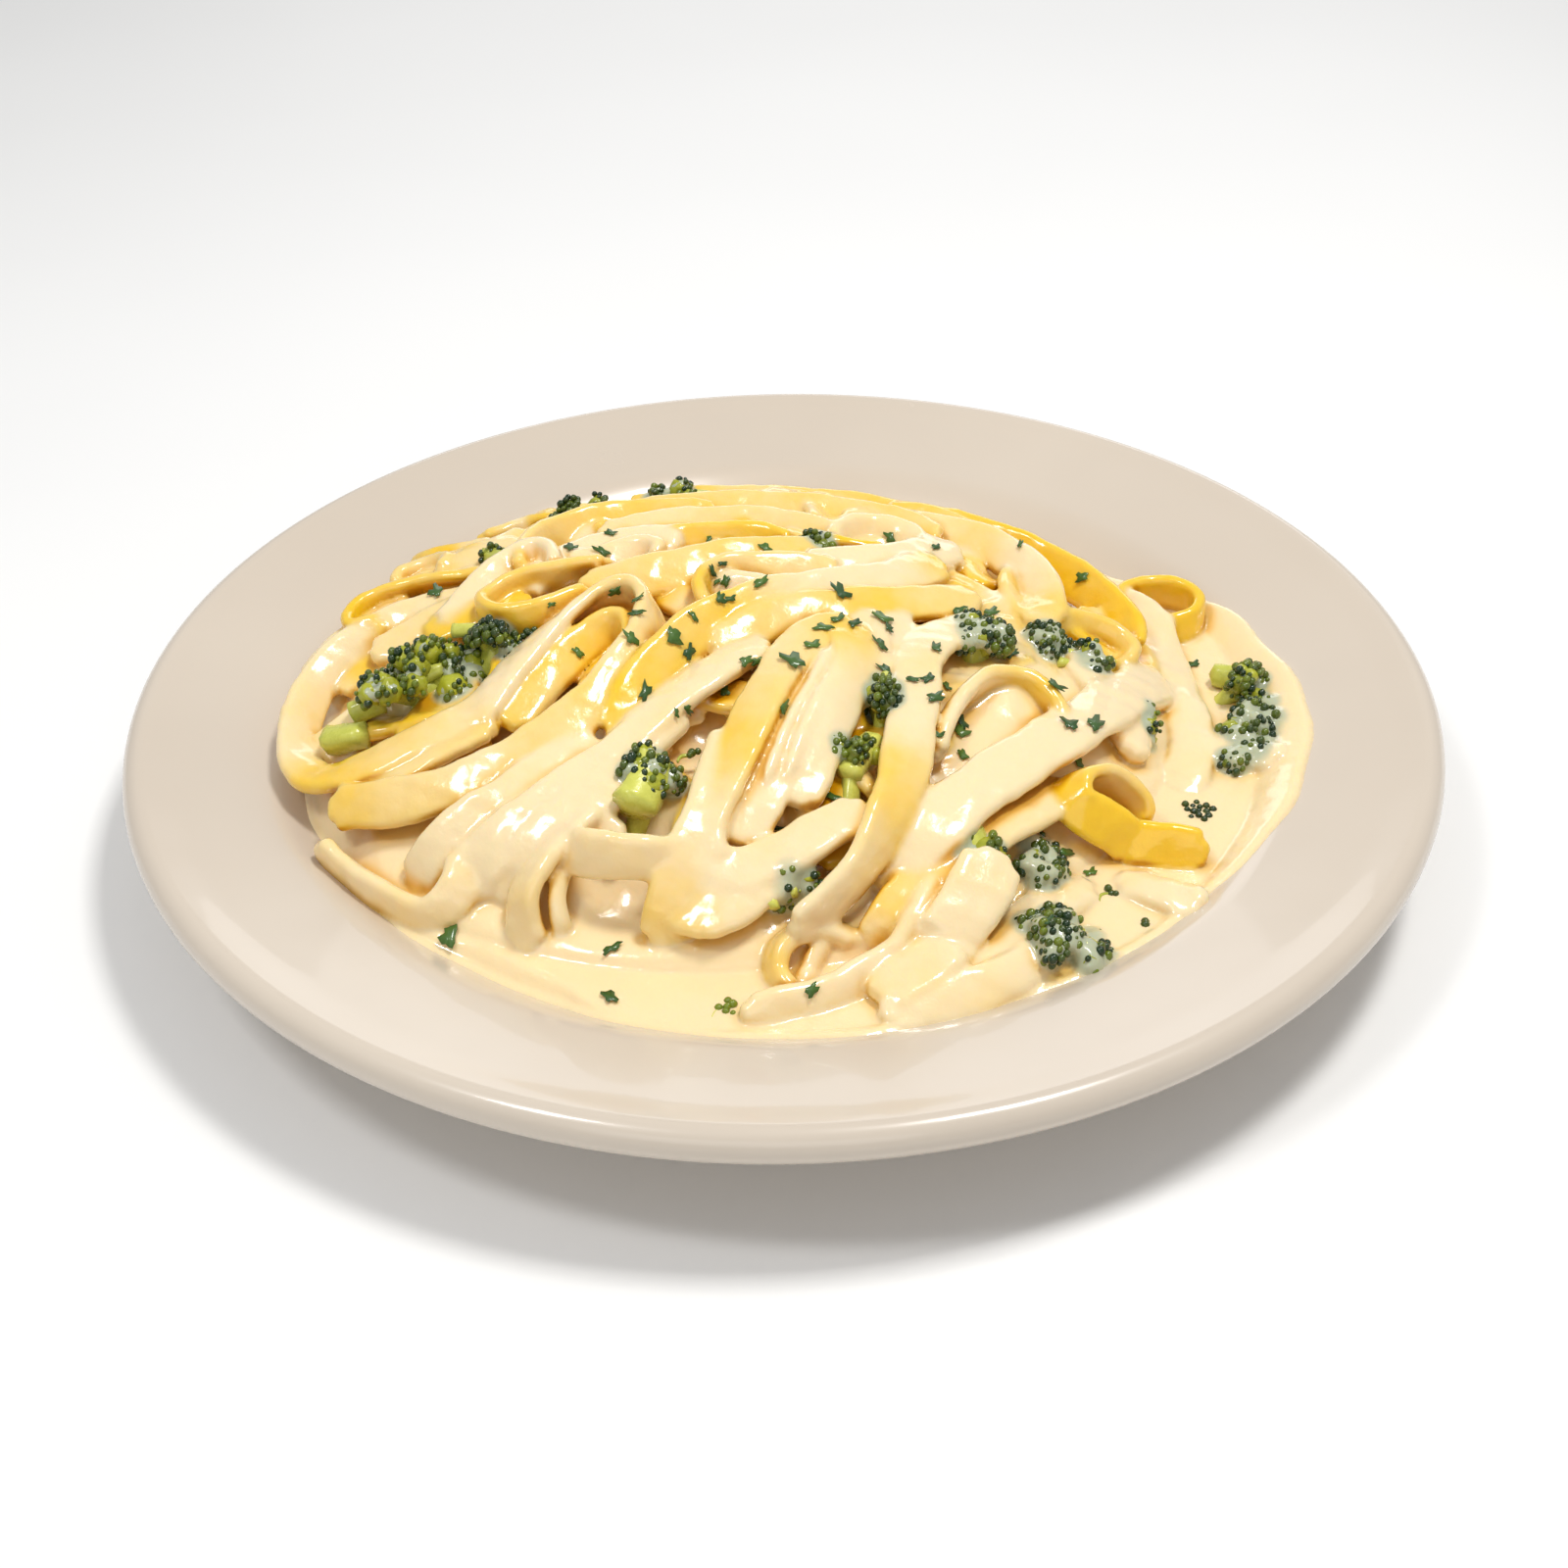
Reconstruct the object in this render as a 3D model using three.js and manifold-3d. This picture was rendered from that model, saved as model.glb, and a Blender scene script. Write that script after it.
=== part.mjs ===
// Fettuccine alfredo with broccoli, served on a wide-rimmed china plate.
// Millimetres, +Z up. The origin is the centre of the foot ring's underside, so the plate stands on z = 0.
// -Y is the side towards the diner: there the pasta slopes down into an open pool of sauce.
import * as THREE from 'three';
import { mergeVertices } from 'three/addons/utils/BufferGeometryUtils.js';
import Module from 'manifold-3d';

const wasm = await Module();
wasm.setup();

// Plate.
const PLATE_RADIUS = 132.5;
const PLATE_SEGMENTS = 44;
const CHINA_THICKNESS = 4.8;
const FLOOR_Z = 7;
const FLOOR_RADIUS = 82;
const WELL_RADIUS = 105;
const WELL_DEPTH = 13;
const RIM_START_RADIUS = 100;
const RIM_SLOPE = 0.24;
const RIM_BLEND = 4;
const EDGE_RADIUS = 3.5;
const EDGE_CENTRE_Z = 24.5;
const BEAD_HEIGHT = 1;
const BEAD_START_RADIUS = 125;
const FOOT_OUTER_RADIUS = 80;
const FOOT_WIDTH = 6;
const FOOT_RECESS_Z = 2.4;

// Food.
const GAP = 0.3;
const SAUCE_LEVEL = 18;
const HEAP_CENTRE_X = -12;
const HEAP_CENTRE_Y = 6;
const HEAP_HALF_X = 94;
const HEAP_HALF_Y = 88;
const HEAP_HALF_Y_BEHIND = 80;
const HEAP_HEIGHT = 23;
const FOOD_SPOKES = 46;
const HEAP_RINGS = 11;
const STRAND_PITCH = 13;
const STRAND_RELIEF = 2.2;
const SPILL_FILM = 1.3;

const CHINA = new THREE.MeshStandardMaterial({ color: 0xe6dacb, roughness: 0.16, metalness: 0 });
const SAUCE = new THREE.MeshStandardMaterial({ color: 0xfdeec6, roughness: 0.22, metalness: 0 });
const PASTA = new THREE.MeshStandardMaterial({ color: 0xf8dda0, roughness: 0.3, metalness: 0 });
const BROCCOLI = new THREE.MeshStandardMaterial({ color: 0x4b6b22, roughness: 0.45, metalness: 0 });

const clamp01 = (v) => Math.min(1, Math.max(0, v));

function smoothstep(from, to, v) {
  const t = clamp01((v - from) / (to - from));
  return t * t * (3 - 2 * t);
}

// 0 below -width, v above width, with a parabola between.
function softRamp(v, width) {
  if (v <= -width) return 0;
  if (v >= width) return v;
  return (v + width) ** 2 / (4 * width);
}

// A bump of height 1 around an angle, for outlines that bulge one way.
function lobe(angle, centreDeg, widthDeg) {
  const away = Math.atan2(Math.sin(angle - rad(centreDeg)), Math.cos(angle - rad(centreDeg)));
  return Math.exp(-((away / rad(widthDeg)) ** 2));
}

function rad(degrees) {
  return (degrees * Math.PI) / 180;
}

// Height of the glazed upper surface: flat floor, sloped well wall, gently rising rim and raised bead.
function plateTop(r) {
  const well = WELL_DEPTH * smoothstep(FLOOR_RADIUS, WELL_RADIUS, r);
  const rim = RIM_SLOPE * softRamp(r - RIM_START_RADIUS, RIM_BLEND);
  const bead = BEAD_HEIGHT * smoothstep(BEAD_START_RADIUS, PLATE_RADIUS - EDGE_RADIUS, r);
  return FLOOR_Z + well + rim + bead;
}

// The plate's section, from the axis out over the top, round the edge and back underneath.
function plateProfile(grow) {
  const points = [new THREE.Vector2(0, FLOOR_Z + grow)];
  const innerEdge = PLATE_RADIUS - EDGE_RADIUS;
  const stops = [FLOOR_RADIUS];
  for (let k = 1; k <= 6; k++) stops.push(FLOOR_RADIUS + ((WELL_RADIUS - FLOOR_RADIUS) * k) / 6);
  stops.push(BEAD_START_RADIUS, BEAD_START_RADIUS + 2);
  stops.forEach((r) => points.push(new THREE.Vector2(r, plateTop(r) + grow)));
  const reach = EDGE_RADIUS + grow;
  for (let k = 0; k <= 5; k++) {
    const a = Math.PI / 2 - (Math.PI * k) / 5;
    points.push(new THREE.Vector2(innerEdge + reach * Math.cos(a), EDGE_CENTRE_Z + reach * Math.sin(a)));
  }
  [118, WELL_RADIUS + 2, WELL_RADIUS - 6, FLOOR_RADIUS + 6].forEach((r) =>
    points.push(new THREE.Vector2(r, plateTop(r) - CHINA_THICKNESS)),
  );
  points.push(new THREE.Vector2(FOOT_OUTER_RADIUS, 0));
  points.push(new THREE.Vector2(FOOT_OUTER_RADIUS - FOOT_WIDTH, 0));
  points.push(new THREE.Vector2(FOOT_OUTER_RADIUS - FOOT_WIDTH - 2, FOOT_RECESS_Z));
  points.push(new THREE.Vector2(0, FOOT_RECESS_Z));
  return points;
}

function plateGeometry(grow = 0) {
  return new THREE.LatheGeometry(plateProfile(grow).reverse(), PLATE_SEGMENTS).rotateX(Math.PI / 2);
}

// Outline of the noodle heap about its own centre: full to the well's wall except over the front pool.
function heapOutline(a) {
  const base = 88 + 3 * Math.cos(2 * (a - rad(160)));
  const wander = 1.2 * Math.sin(9 * a + 0.6) + 0.8 * Math.sin(15 * a);
  return base + wander - 9 * lobe(a, 252, 22) + 9 * lobe(a, 292, 24);
}

// Outer edge of the sauce about the plate's centre, with the spill over the rim on the right.
function sauceOutline(a) {
  const wander = 0.6 * Math.sin(7 * a) + 0.5 * Math.sin(13 * a + 1);
  return 99.5 + wander + 9 * lobe(a, -8, 22) + 3.5 * lobe(a, 18, 8) - 3 * lobe(a, 232, 22);
}

// The mound without its strands.
function dome(x, y) {
  const reachY = y > HEAP_CENTRE_Y ? HEAP_HALF_Y_BEHIND : HEAP_HALF_Y;
  const share = ((x - HEAP_CENTRE_X) / HEAP_HALF_X) ** 2 + ((y - HEAP_CENTRE_Y) / reachY) ** 2;
  return SAUCE_LEVEL + HEAP_HEIGHT * clamp01(1 - share) ** 0.75;
}

// One bundle of parallel strands: half-round ridges across the direction, swaying along it.
function bundle(x, y, direction, sway, shift) {
  const across = x * Math.cos(direction) + y * Math.sin(direction) + shift;
  const along = -x * Math.sin(direction) + y * Math.cos(direction);
  const u = (across + sway * Math.sin(along / 22)) / STRAND_PITCH;
  const fromCrest = 2 * (u - Math.floor(u)) - 1;
  return Math.sqrt(1 - fromCrest * fromCrest);
}

// Strands fan out over the mound: steep in front, level behind, and two bundles cross in the middle.
function strandRelief(x, y) {
  const fan = rad(-28) + 0.006 * x;
  const front = bundle(x, y, fan, 6, 0);
  const back = bundle(x, y, rad(78) - 0.004 * x, 7, 4);
  const share = smoothstep(-12, 26, y + 12 * Math.sin(x / 19));
  return STRAND_RELIEF * ((1 - share) * front + share * back) - STRAND_RELIEF / 2;
}

function heapTop(x, y) {
  return dome(x, y) + 1.2 + strandRelief(x, y);
}

// A closed ring or disc: columns of points round the centre, from the inner edge over the top to the
// outer edge and back along the bottom. rows[k] gives the point of ring k at an angle.
function revolvedBody(rows, spokes, closedLoop) {
  const positions = [];
  const index = [];
  rows.forEach((row) => {
    for (let s = 0; s < spokes; s++) positions.push(...row((2 * Math.PI * s) / spokes));
  });
  const at = (k, s) => (k % rows.length) * spokes + (s % spokes);
  const bands = closedLoop ? rows.length : rows.length - 1;
  for (let k = 0; k < bands; k++) {
    for (let s = 0; s < spokes; s++) {
      index.push(at(k, s), at(k + 1, s), at(k, s + 1));
      index.push(at(k, s + 1), at(k + 1, s), at(k + 1, s + 1));
    }
  }
  if (!closedLoop) {
    [0, rows.length - 1].forEach((k) => {
      const centre = positions.length / 3;
      const first = rows[k](0);
      const opposite = rows[k](Math.PI);
      positions.push((first[0] + opposite[0]) / 2, (first[1] + opposite[1]) / 2, (first[2] + opposite[2]) / 2);
      for (let s = 0; s < spokes; s++) {
        if (k === 0) index.push(centre, at(0, s), at(0, s + 1));
        else index.push(centre, at(k, s + 1), at(k, s));
      }
    });
  }
  const geometry = new THREE.BufferGeometry();
  geometry.setAttribute('position', new THREE.Float32BufferAttribute(positions, 3));
  geometry.setIndex(index);
  return geometry;
}

// The heap: its top is the mound with its strands, its sides drop to the china and its base lies on the floor.
function heapGeometry() {
  const rows = [];
  const ring = (share, heightOf) => (a) => {
    const reach = heapOutline(a) * share;
    const x = HEAP_CENTRE_X / 2 + reach * Math.cos(a);
    const y = HEAP_CENTRE_Y / 2 + reach * Math.sin(a);
    return [x, y, heightOf(x, y)];
  };
  for (let k = 1; k <= HEAP_RINGS; k++) {
    const share = k / HEAP_RINGS;
    const edgeDrop = 3.5 * smoothstep(0.9, 1, share);
    rows.push(ring(share, (x, y) => heapTop(x, y) - edgeDrop));
  }
  const onChina = (x, y) => plateTop(Math.hypot(x, y)) + 2 * GAP;
  [0.99, 0.95, 0.9].forEach((share) => rows.push(ring(share, onChina)));
  rows.push(ring(0.8, () => FLOOR_Z + GAP));
  return revolvedBody(rows, FOOD_SPOKES, false);
}

// The pool: it fills the well round the heap up to its level, and runs out over the rim as a thin film.
function sauceGeometry() {
  const rows = [];
  const heapEdge = (a) => {
    const reach = heapOutline(a) + 2 * GAP;
    return [HEAP_CENTRE_X / 2 + reach * Math.cos(a), HEAP_CENTRE_Y / 2 + reach * Math.sin(a)];
  };
  const ring = (share, heightOf) => (a) => {
    const [ex, ey] = heapEdge(a);
    const inner = Math.hypot(ex, ey);
    const around = Math.atan2(ey, ex);
    const outer = Math.max(sauceOutline(around), inner + 2.5);
    const r = inner + (outer - inner) * share;
    return [r * Math.cos(around), r * Math.sin(around), heightOf(r, share)];
  };
  const top = (r, share) => {
    const surface = Math.max(SAUCE_LEVEL, plateTop(r) + GAP + SPILL_FILM);
    return surface - 0.6 * smoothstep(0.82, 1, share);
  };
  const bottom = (r) => plateTop(r) + GAP / 2;
  [0, 0.4, 0.75, 0.9, 1].forEach((share) => rows.push(ring(share, top)));
  [1, 0.66, 0.33, 0].forEach((share) => rows.push(ring(share, bottom)));
  return revolvedBody(rows, FOOD_SPOKES, true);
}

// A broccoli floret: a crown of rounded lumps on a short tapered stalk.
// width, depth and height are the crown's; the stalk points away from it along the lean.
function floretGeometry({ width, depth, height, stalk, turn, lean, seed }) {
  const crown = mergeVertices(bare(new THREE.IcosahedronGeometry(1, width > 20 ? 2 : 1)));
  const p = crown.getAttribute('position');
  const v = new THREE.Vector3();
  for (let i = 0; i < p.count; i++) {
    v.fromBufferAttribute(p, i);
    const lumps = Math.sin(4.1 * v.x + seed) * Math.sin(3.7 * v.y + 2 * seed) + 0.6 * Math.sin(5.3 * v.z + seed);
    v.multiplyScalar(1 + 0.09 * lumps);
    p.setXYZ(i, (v.x * width) / 2, (v.y * depth) / 2, (v.z * height) / 2);
  }
  const thick = Math.min(width, depth) * 0.24;
  const stem = bare(new THREE.CylinderGeometry(thick, thick * 0.7, stalk + height / 2, 6));
  stem.rotateX(Math.PI / 2).translate(0, 0, -(stalk + height / 2) / 2);
  const joined = toSolid(crown).add(toSolid(stem));
  const geometry = toGeometry(joined);
  return geometry.rotateX(rad(lean)).rotateZ(rad(turn));
}

// Without normals and texture coordinates, so that shared vertices merge.
function bare(geometry) {
  geometry.deleteAttribute('normal');
  geometry.deleteAttribute('uv');
  return geometry;
}

function toSolid(geometry) {
  const merged = mergeVertices(bare(geometry), 1e-3);
  return new wasm.Manifold(
    new wasm.Mesh({
      numProp: 3,
      vertProperties: new Float32Array(merged.getAttribute('position').array),
      triVerts: new Uint32Array(merged.index.array),
    }),
  );
}

function toGeometry(solid) {
  const made = solid.getMesh();
  const geometry = new THREE.BufferGeometry();
  geometry.setAttribute('position', new THREE.Float32BufferAttribute(made.vertProperties, 3));
  geometry.setIndex(new THREE.Uint32BufferAttribute(made.triVerts, 1));
  return geometry;
}

// Where each floret lies: x and y, how far its centre is above the mound or pool, its size, its stalk's
// length, and the stalk's direction as a turn about Z after a lean from straight down.
const FLORETS = [
  { x: -70.5, y: -13, lift: 3.6, width: 16, depth: 29, height: 13, stalk: 7, turn: 138, lean: 12, seed: 1 },
  { x: -57.5, y: -7, lift: 4.4, width: 10, depth: 10, height: 9, stalk: 3, turn: 150, lean: 25, seed: 2 },
  { x: -44, y: 52.5, lift: 2.6, width: 15, depth: 11, height: 10, stalk: 3, turn: 40, lean: 40, seed: 3 },
  { x: -61.5, y: 31, lift: 3.5, width: 8, depth: 7, height: 8, stalk: 5, turn: 10, lean: 20, seed: 4 },
  { x: -23, y: 58.5, lift: 3, width: 16, depth: 10, height: 9, stalk: 5, turn: -30, lean: 50, seed: 5 },
  { x: -25, y: -50.5, lift: 5, width: 13, depth: 11, height: 12, stalk: 6, turn: 150, lean: 30, seed: 6 },
  { x: 19.5, y: -29, lift: 3.2, width: 10, depth: 14, height: 11, stalk: 6, turn: 165, lean: 40, seed: 7 },
  { x: 12.5, y: -43.5, lift: 3, width: 12, depth: 10, height: 10, stalk: 5, turn: 175, lean: 60, seed: 8 },
  { x: 2, y: -69.5, lift: 3.2, width: 12, depth: 8, height: 6, stalk: 5, turn: 20, lean: 80, seed: 9 },
  { x: 8, y: 24.5, lift: 3.2, width: 8, depth: 7, height: 7, stalk: 3, turn: 0, lean: 20, seed: 10 },
  { x: 39, y: -5, lift: 3.2, width: 15, depth: 14, height: 9, stalk: 4, turn: 160, lean: 25, seed: 11 },
  { x: 54, y: -0.5, lift: 2.8, width: 10, depth: 8, height: 7, stalk: 3, turn: 100, lean: 30, seed: 12 },
  { x: 62, y: -3, lift: 2.4, width: 13, depth: 9, height: 7, stalk: 4, turn: -60, lean: 70, seed: 13 },
  { x: 72, y: -17, lift: 2.2, width: 7, depth: 9, height: 7, stalk: 3, turn: 0, lean: 30, seed: 14 },
  { x: 96.5, y: 2, lift: 4.6, width: 12, depth: 10, height: 9, stalk: 4, turn: 100, lean: 50, seed: 15 },
  { x: 95.5, y: -15, lift: 3, width: 24, depth: 13, height: 6.5, stalk: 3, turn: 60, lean: 14, seed: 16 },
  { x: 49.5, y: -77, lift: 2.6, width: 17, depth: 15, height: 8.5, stalk: 5, turn: 120, lean: 30, seed: 17 },
  { x: 46.5, y: -57, lift: 1.6, width: 14, depth: 9, height: 5.5, stalk: 3, turn: 90, lean: 20, seed: 18 },
  { x: 34.5, y: -62.5, lift: 5.2, width: 12, depth: 8, height: 8, stalk: 5, turn: 170, lean: 40, seed: 19 },
];

function floretHeight({ x, y, lift }) {
  return dome(x, y) + lift - 2;
}

// A floret in place, cut back from the china and from the florets placed before it.
function placedFloret(spec, grow, clearOf) {
  const bigger = { ...spec, width: spec.width + 2 * grow, depth: spec.depth + 2 * grow, height: spec.height + 2 * grow };
  bigger.stalk = spec.stalk + (grow ? 2 * grow : 0);
  const geometry = floretGeometry(bigger).translate(spec.x, spec.y, floretHeight(spec));
  return clearOf.reduce((solid, other) => solid.subtract(other), toSolid(geometry));
}

function mesh(name, geometry, material) {
  const made = new THREE.Mesh(geometry, material);
  made.name = name;
  return made;
}

const food = new THREE.Group();
const grownChina = toSolid(plateGeometry(GAP));
const pockets = [];
FLORETS.forEach((spec, i) => {
  const solid = placedFloret(spec, 0, [grownChina, ...pockets]);
  pockets.push(placedFloret(spec, 2 * GAP, []));
  food.add(mesh('broccoli_' + String(i + 1).padStart(2, '0'), toGeometry(solid), BROCCOLI));
});
const cutPockets = (solid) => toGeometry(pockets.reduce((rest, pocket) => rest.subtract(pocket), solid));
food.add(mesh('fettuccine', cutPockets(toSolid(heapGeometry())), PASTA));
food.add(mesh('alfredo_sauce', cutPockets(toSolid(sauceGeometry()).subtract(grownChina)), SAUCE));

const dish = new THREE.Group();
dish.add(mesh('plate', plateGeometry(), CHINA));
dish.add(food);

export default dish;
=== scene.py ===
"""Fettuccine alfredo with broccoli on a wide-rimmed china plate. Metres, +Z up, diner towards -Y."""
import math
import random

import bpy
import numpy as np
from mathutils import Matrix, Vector


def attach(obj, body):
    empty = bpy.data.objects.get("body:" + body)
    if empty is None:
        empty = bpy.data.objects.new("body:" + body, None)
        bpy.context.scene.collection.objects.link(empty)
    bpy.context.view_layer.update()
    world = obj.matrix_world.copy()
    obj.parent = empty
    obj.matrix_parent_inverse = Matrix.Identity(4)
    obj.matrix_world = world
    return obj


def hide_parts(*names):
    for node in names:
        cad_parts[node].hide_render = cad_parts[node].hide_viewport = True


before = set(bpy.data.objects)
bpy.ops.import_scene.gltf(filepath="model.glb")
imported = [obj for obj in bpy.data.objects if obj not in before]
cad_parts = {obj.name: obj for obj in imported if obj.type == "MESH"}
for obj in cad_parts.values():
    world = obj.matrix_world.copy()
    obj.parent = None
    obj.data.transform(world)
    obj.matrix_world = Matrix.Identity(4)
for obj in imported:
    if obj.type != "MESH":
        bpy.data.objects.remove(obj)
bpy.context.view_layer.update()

MM = 0.001

# ------------------------------------------------------------------ camera

CAMERA_AIM_Z = 24.5
CAMERA_DISTANCE = 420.0
CAMERA_ELEVATION = math.radians(33.54)
CAMERA_PITCH = math.radians(36.37)
CAMERA_ROLL = math.radians(-0.99)
CAMERA_LENS = 46.5


def place_camera():
    data = bpy.data.cameras.new("camera")
    data.sensor_width = 36.0
    data.lens = CAMERA_LENS
    data.clip_start = 0.01
    camera = bpy.data.objects.new("camera", data)
    bpy.context.scene.collection.objects.link(camera)
    camera.location = (
        0.0,
        -math.cos(CAMERA_ELEVATION) * CAMERA_DISTANCE * MM,
        (CAMERA_AIM_Z + math.sin(CAMERA_ELEVATION) * CAMERA_DISTANCE) * MM,
    )
    tilt = Matrix.Rotation(math.pi / 2 - CAMERA_PITCH, 4, "X")
    camera.rotation_euler = (tilt @ Matrix.Rotation(CAMERA_ROLL, 4, "Z")).to_euler()
    bpy.context.scene.camera = camera


# ------------------------------------------------------------------ shader maths


class Value:
    """One output socket. Arithmetic on it adds Math nodes."""

    def __init__(self, finish, socket):
        self.finish = finish
        self.socket = socket

    def math(self, operation, *others, clamp=False):
        return self.finish.node("ShaderNodeMath", {"operation": operation, "use_clamp": clamp}, self, *others)

    def __add__(self, other):
        return self.math("ADD", other)

    def __sub__(self, other):
        return self.math("SUBTRACT", other)

    def __mul__(self, other):
        return self.math("MULTIPLY", other)

    def __rsub__(self, other):
        return self.finish.node("ShaderNodeMath", {"operation": "SUBTRACT"}, other, self)

    __radd__ = __add__
    __rmul__ = __mul__

    def clamped(self):
        return self.math("ADD", 0.0, clamp=True)

    def ramp(self, low, high):
        """0 below low, 1 above high and a smooth step between."""
        return self.finish.node(
            "ShaderNodeMapRange", {"interpolation_type": "SMOOTHSTEP"}, self, low, high, 0.0, 1.0
        )


class Finish:
    """A material and its nodes."""

    def __init__(self, name, **constants):
        self.material = bpy.data.materials.new(name)
        self.material.use_nodes = True
        self.tree = self.material.node_tree
        self.shader = next(n for n in self.tree.nodes if n.type == "BSDF_PRINCIPLED")
        for socket, value in constants.items():
            self.shader.inputs[socket.replace("_", " ")].default_value = value

    def node(self, kind, settings, *values, out=0, **named):
        made = self.tree.nodes.new(kind)
        for key, value in settings.items():
            setattr(made, key, value)
        for index, value in enumerate(values):
            if value is not None:
                self.put(made.inputs[index], value)
        for key, value in named.items():
            self.put(made.inputs[key.replace("_", " ")], value)
        return Value(self, made.outputs[out])

    def put(self, socket, value):
        if isinstance(value, Value):
            self.tree.links.new(value.socket, socket)
        elif socket.type == "RGBA":
            socket.default_value = (*value, 1.0)
        else:
            socket.default_value = value

    def mix(self, share, first, second):
        """Colour mix: first where share is 0, second where it is 1."""
        made = self.tree.nodes.new("ShaderNodeMix")
        made.data_type = "RGBA"
        for index, value in ((0, share), (6, first), (7, second)):
            self.put(made.inputs[index], value)
        return Value(self, made.outputs[2])

    def place(self):
        return self.node("ShaderNodeTexCoord", {}, out=3)

    def noise(self, scale, detail=2.0, roughness=0.5, seed=0.0):
        """Noise over the object's own space; scale is in features per metre."""
        return self.node(
            "ShaderNodeTexNoise", {"noise_dimensions": "4D"}, self.place(),
            W=seed, Scale=scale, Detail=detail, Roughness=roughness,
        )

    def attribute(self, name):
        return self.node("ShaderNodeAttribute", {"attribute_name": name}, out=2)

    def set(self, socket, value):
        self.put(self.shader.inputs[socket], value)

    def bump(self, height, distance, strength=1.0, under=None):
        made = self.node("ShaderNodeBump", {}, Height=height, Distance=distance, Strength=strength)
        if under is not None:
            self.put(made.socket.node.inputs["Normal"], under)
        return made


def china_finish():
    f = Finish("warm_china", IOR=1.5, Coat_Roughness=0.04)
    cloud = f.noise(9.0, 3.0, seed=1.0)
    speck = f.noise(900.0, 2.0, seed=2.0)
    f.set("Base Color", f.mix(cloud.ramp(0.3, 0.7), (0.60, 0.52, 0.43), (0.64, 0.56, 0.465)))
    f.set("Roughness", 0.2 + 0.1 * f.noise(60.0, 3.0, seed=3.0))
    f.set("Coat Weight", 0.35 + 0.1 * speck)
    f.set("Normal", f.bump(f.noise(26.0, 2.0, seed=4.0), 0.0012, 0.5))
    return f.material


def pasta_finish(name, cream_light, cream_in_painted_shade):
    """Amber where the noodle is bare, cream where the sauce lies thick, with painted shade: darker amber and
    deeper cream in the creases and gaps.
    """
    f = Finish(name, IOR=1.45, Subsurface_Weight=0.25, Subsurface_Scale=0.004, Coat_Roughness=0.08)
    f.shader.inputs["Subsurface Radius"].default_value = (1.0, 0.6, 0.25)
    sauce = f.attribute("sauce")
    # Painted shade: how closed in each place is, baked from the distance field.
    crevice_shade = f.attribute("crevice_shade")
    green = f.attribute("green")
    wander = f.noise(90.0, 3.0, seed=5.0) - 0.5
    fine = f.noise(420.0, 3.0, seed=6.0) - 0.5
    broad = f.noise(38.0, 2.0, seed=12.0) - 0.5
    # Painted shade also lets more amber show through the sauce in the creases.
    cover = (sauce + 0.5 * wander + 0.7 * broad + 0.12 * fine - 0.25 * crevice_shade).ramp(0.0, 0.95)
    # Painted shade: bare noodle amber turns darker, and cream deeper, in the creases.
    bare = f.mix((crevice_shade + 0.3 * wander).ramp(0.1, 0.8), (0.88, 0.545, 0.015), (0.60, 0.27, 0.002))
    cream = f.mix((crevice_shade + 0.3 * wander).ramp(0.05, 0.8), cream_light, cream_in_painted_shade)
    skin = f.mix(cover, bare, cream)
    f.set("Base Color", f.mix((green + 0.25 * fine).ramp(0.15, 0.9), skin, (0.46, 0.49, 0.33)))
    f.set("Roughness", 0.20 + 0.12 * wander + 0.14 * fine)
    f.set("Coat Weight", 0.6 + 0.3 * fine)
    ripple = f.bump(f.noise(160.0, 2.0, seed=7.0), 0.0005, 0.6)
    grain = f.bump(f.noise(520.0, 3.0, seed=13.0), 0.00012, 0.7, under=ripple)
    f.set("Normal", f.bump(f.noise(1500.0, 2.0, seed=8.0), 0.00006, 0.6, under=grain))
    return f.material


def floret_finish(name, dark, light, gloss):
    f = Finish(name, IOR=1.42)
    shade = f.attribute("shade")
    patch = f.noise(700.0, 2.0, seed=9.0)
    f.set("Base Color", f.mix((shade + 0.5 * (patch - 0.5)).clamped(), dark, light))
    f.set("Roughness", gloss + 0.15 * patch)
    f.set("Coat Weight", 0.3 + 0.2 * patch)
    f.set("Normal", f.bump(f.noise(2200.0, 2.0, seed=10.0), 0.0001, 0.6))
    return f.material


def floor_finish():
    f = Finish("pale_floor", Roughness=0.6)
    cloud = f.noise(6.0, 2.0, seed=11.0).ramp(0.2, 0.8)
    f.set("Base Color", f.mix(cloud, (0.86, 0.86, 0.855), (0.88, 0.88, 0.875)))
    return f.material


# ------------------------------------------------------------------ mesh helpers


def add_piece(name, points, faces, material, normals=None, attributes=None):
    """A smooth-shaded mesh object from millimetre points."""
    mesh = bpy.data.meshes.new(name)
    points = np.asarray(points, dtype=np.float64) * MM
    if isinstance(faces, np.ndarray):
        count = len(faces)
        side = faces.shape[1]
        mesh.vertices.add(len(points))
        mesh.vertices.foreach_set("co", points.ravel())
        mesh.loops.add(count * side)
        mesh.loops.foreach_set("vertex_index", faces.astype(np.int32).ravel())
        mesh.polygons.add(count)
        mesh.polygons.foreach_set("loop_start", np.arange(0, count * side, side, dtype=np.int32))
        mesh.update(calc_edges=True)
    else:
        mesh.from_pydata([tuple(p) for p in points], [], faces)
    mesh.polygons.foreach_set("use_smooth", [True] * len(mesh.polygons))
    for key, values in (attributes or {}).items():
        layer = mesh.attributes.new(key, "FLOAT", "POINT")
        layer.data.foreach_set("value", np.asarray(values, dtype=np.float32))
    if normals is not None:
        mesh.normals_split_custom_set_from_vertices([tuple(n) for n in normals])
    mesh.materials.append(material)
    mesh.validate()
    piece = bpy.data.objects.new(name, mesh)
    bpy.context.scene.collection.objects.link(piece)
    return piece


GOLDEN_ANGLE = 2.399963


def smoothstep(low, high, v):
    t = np.clip((v - low) / (high - low), 0.0, 1.0)
    return t * t * (3.0 - 2.0 * t)


# ------------------------------------------------------------------ plate

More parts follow.
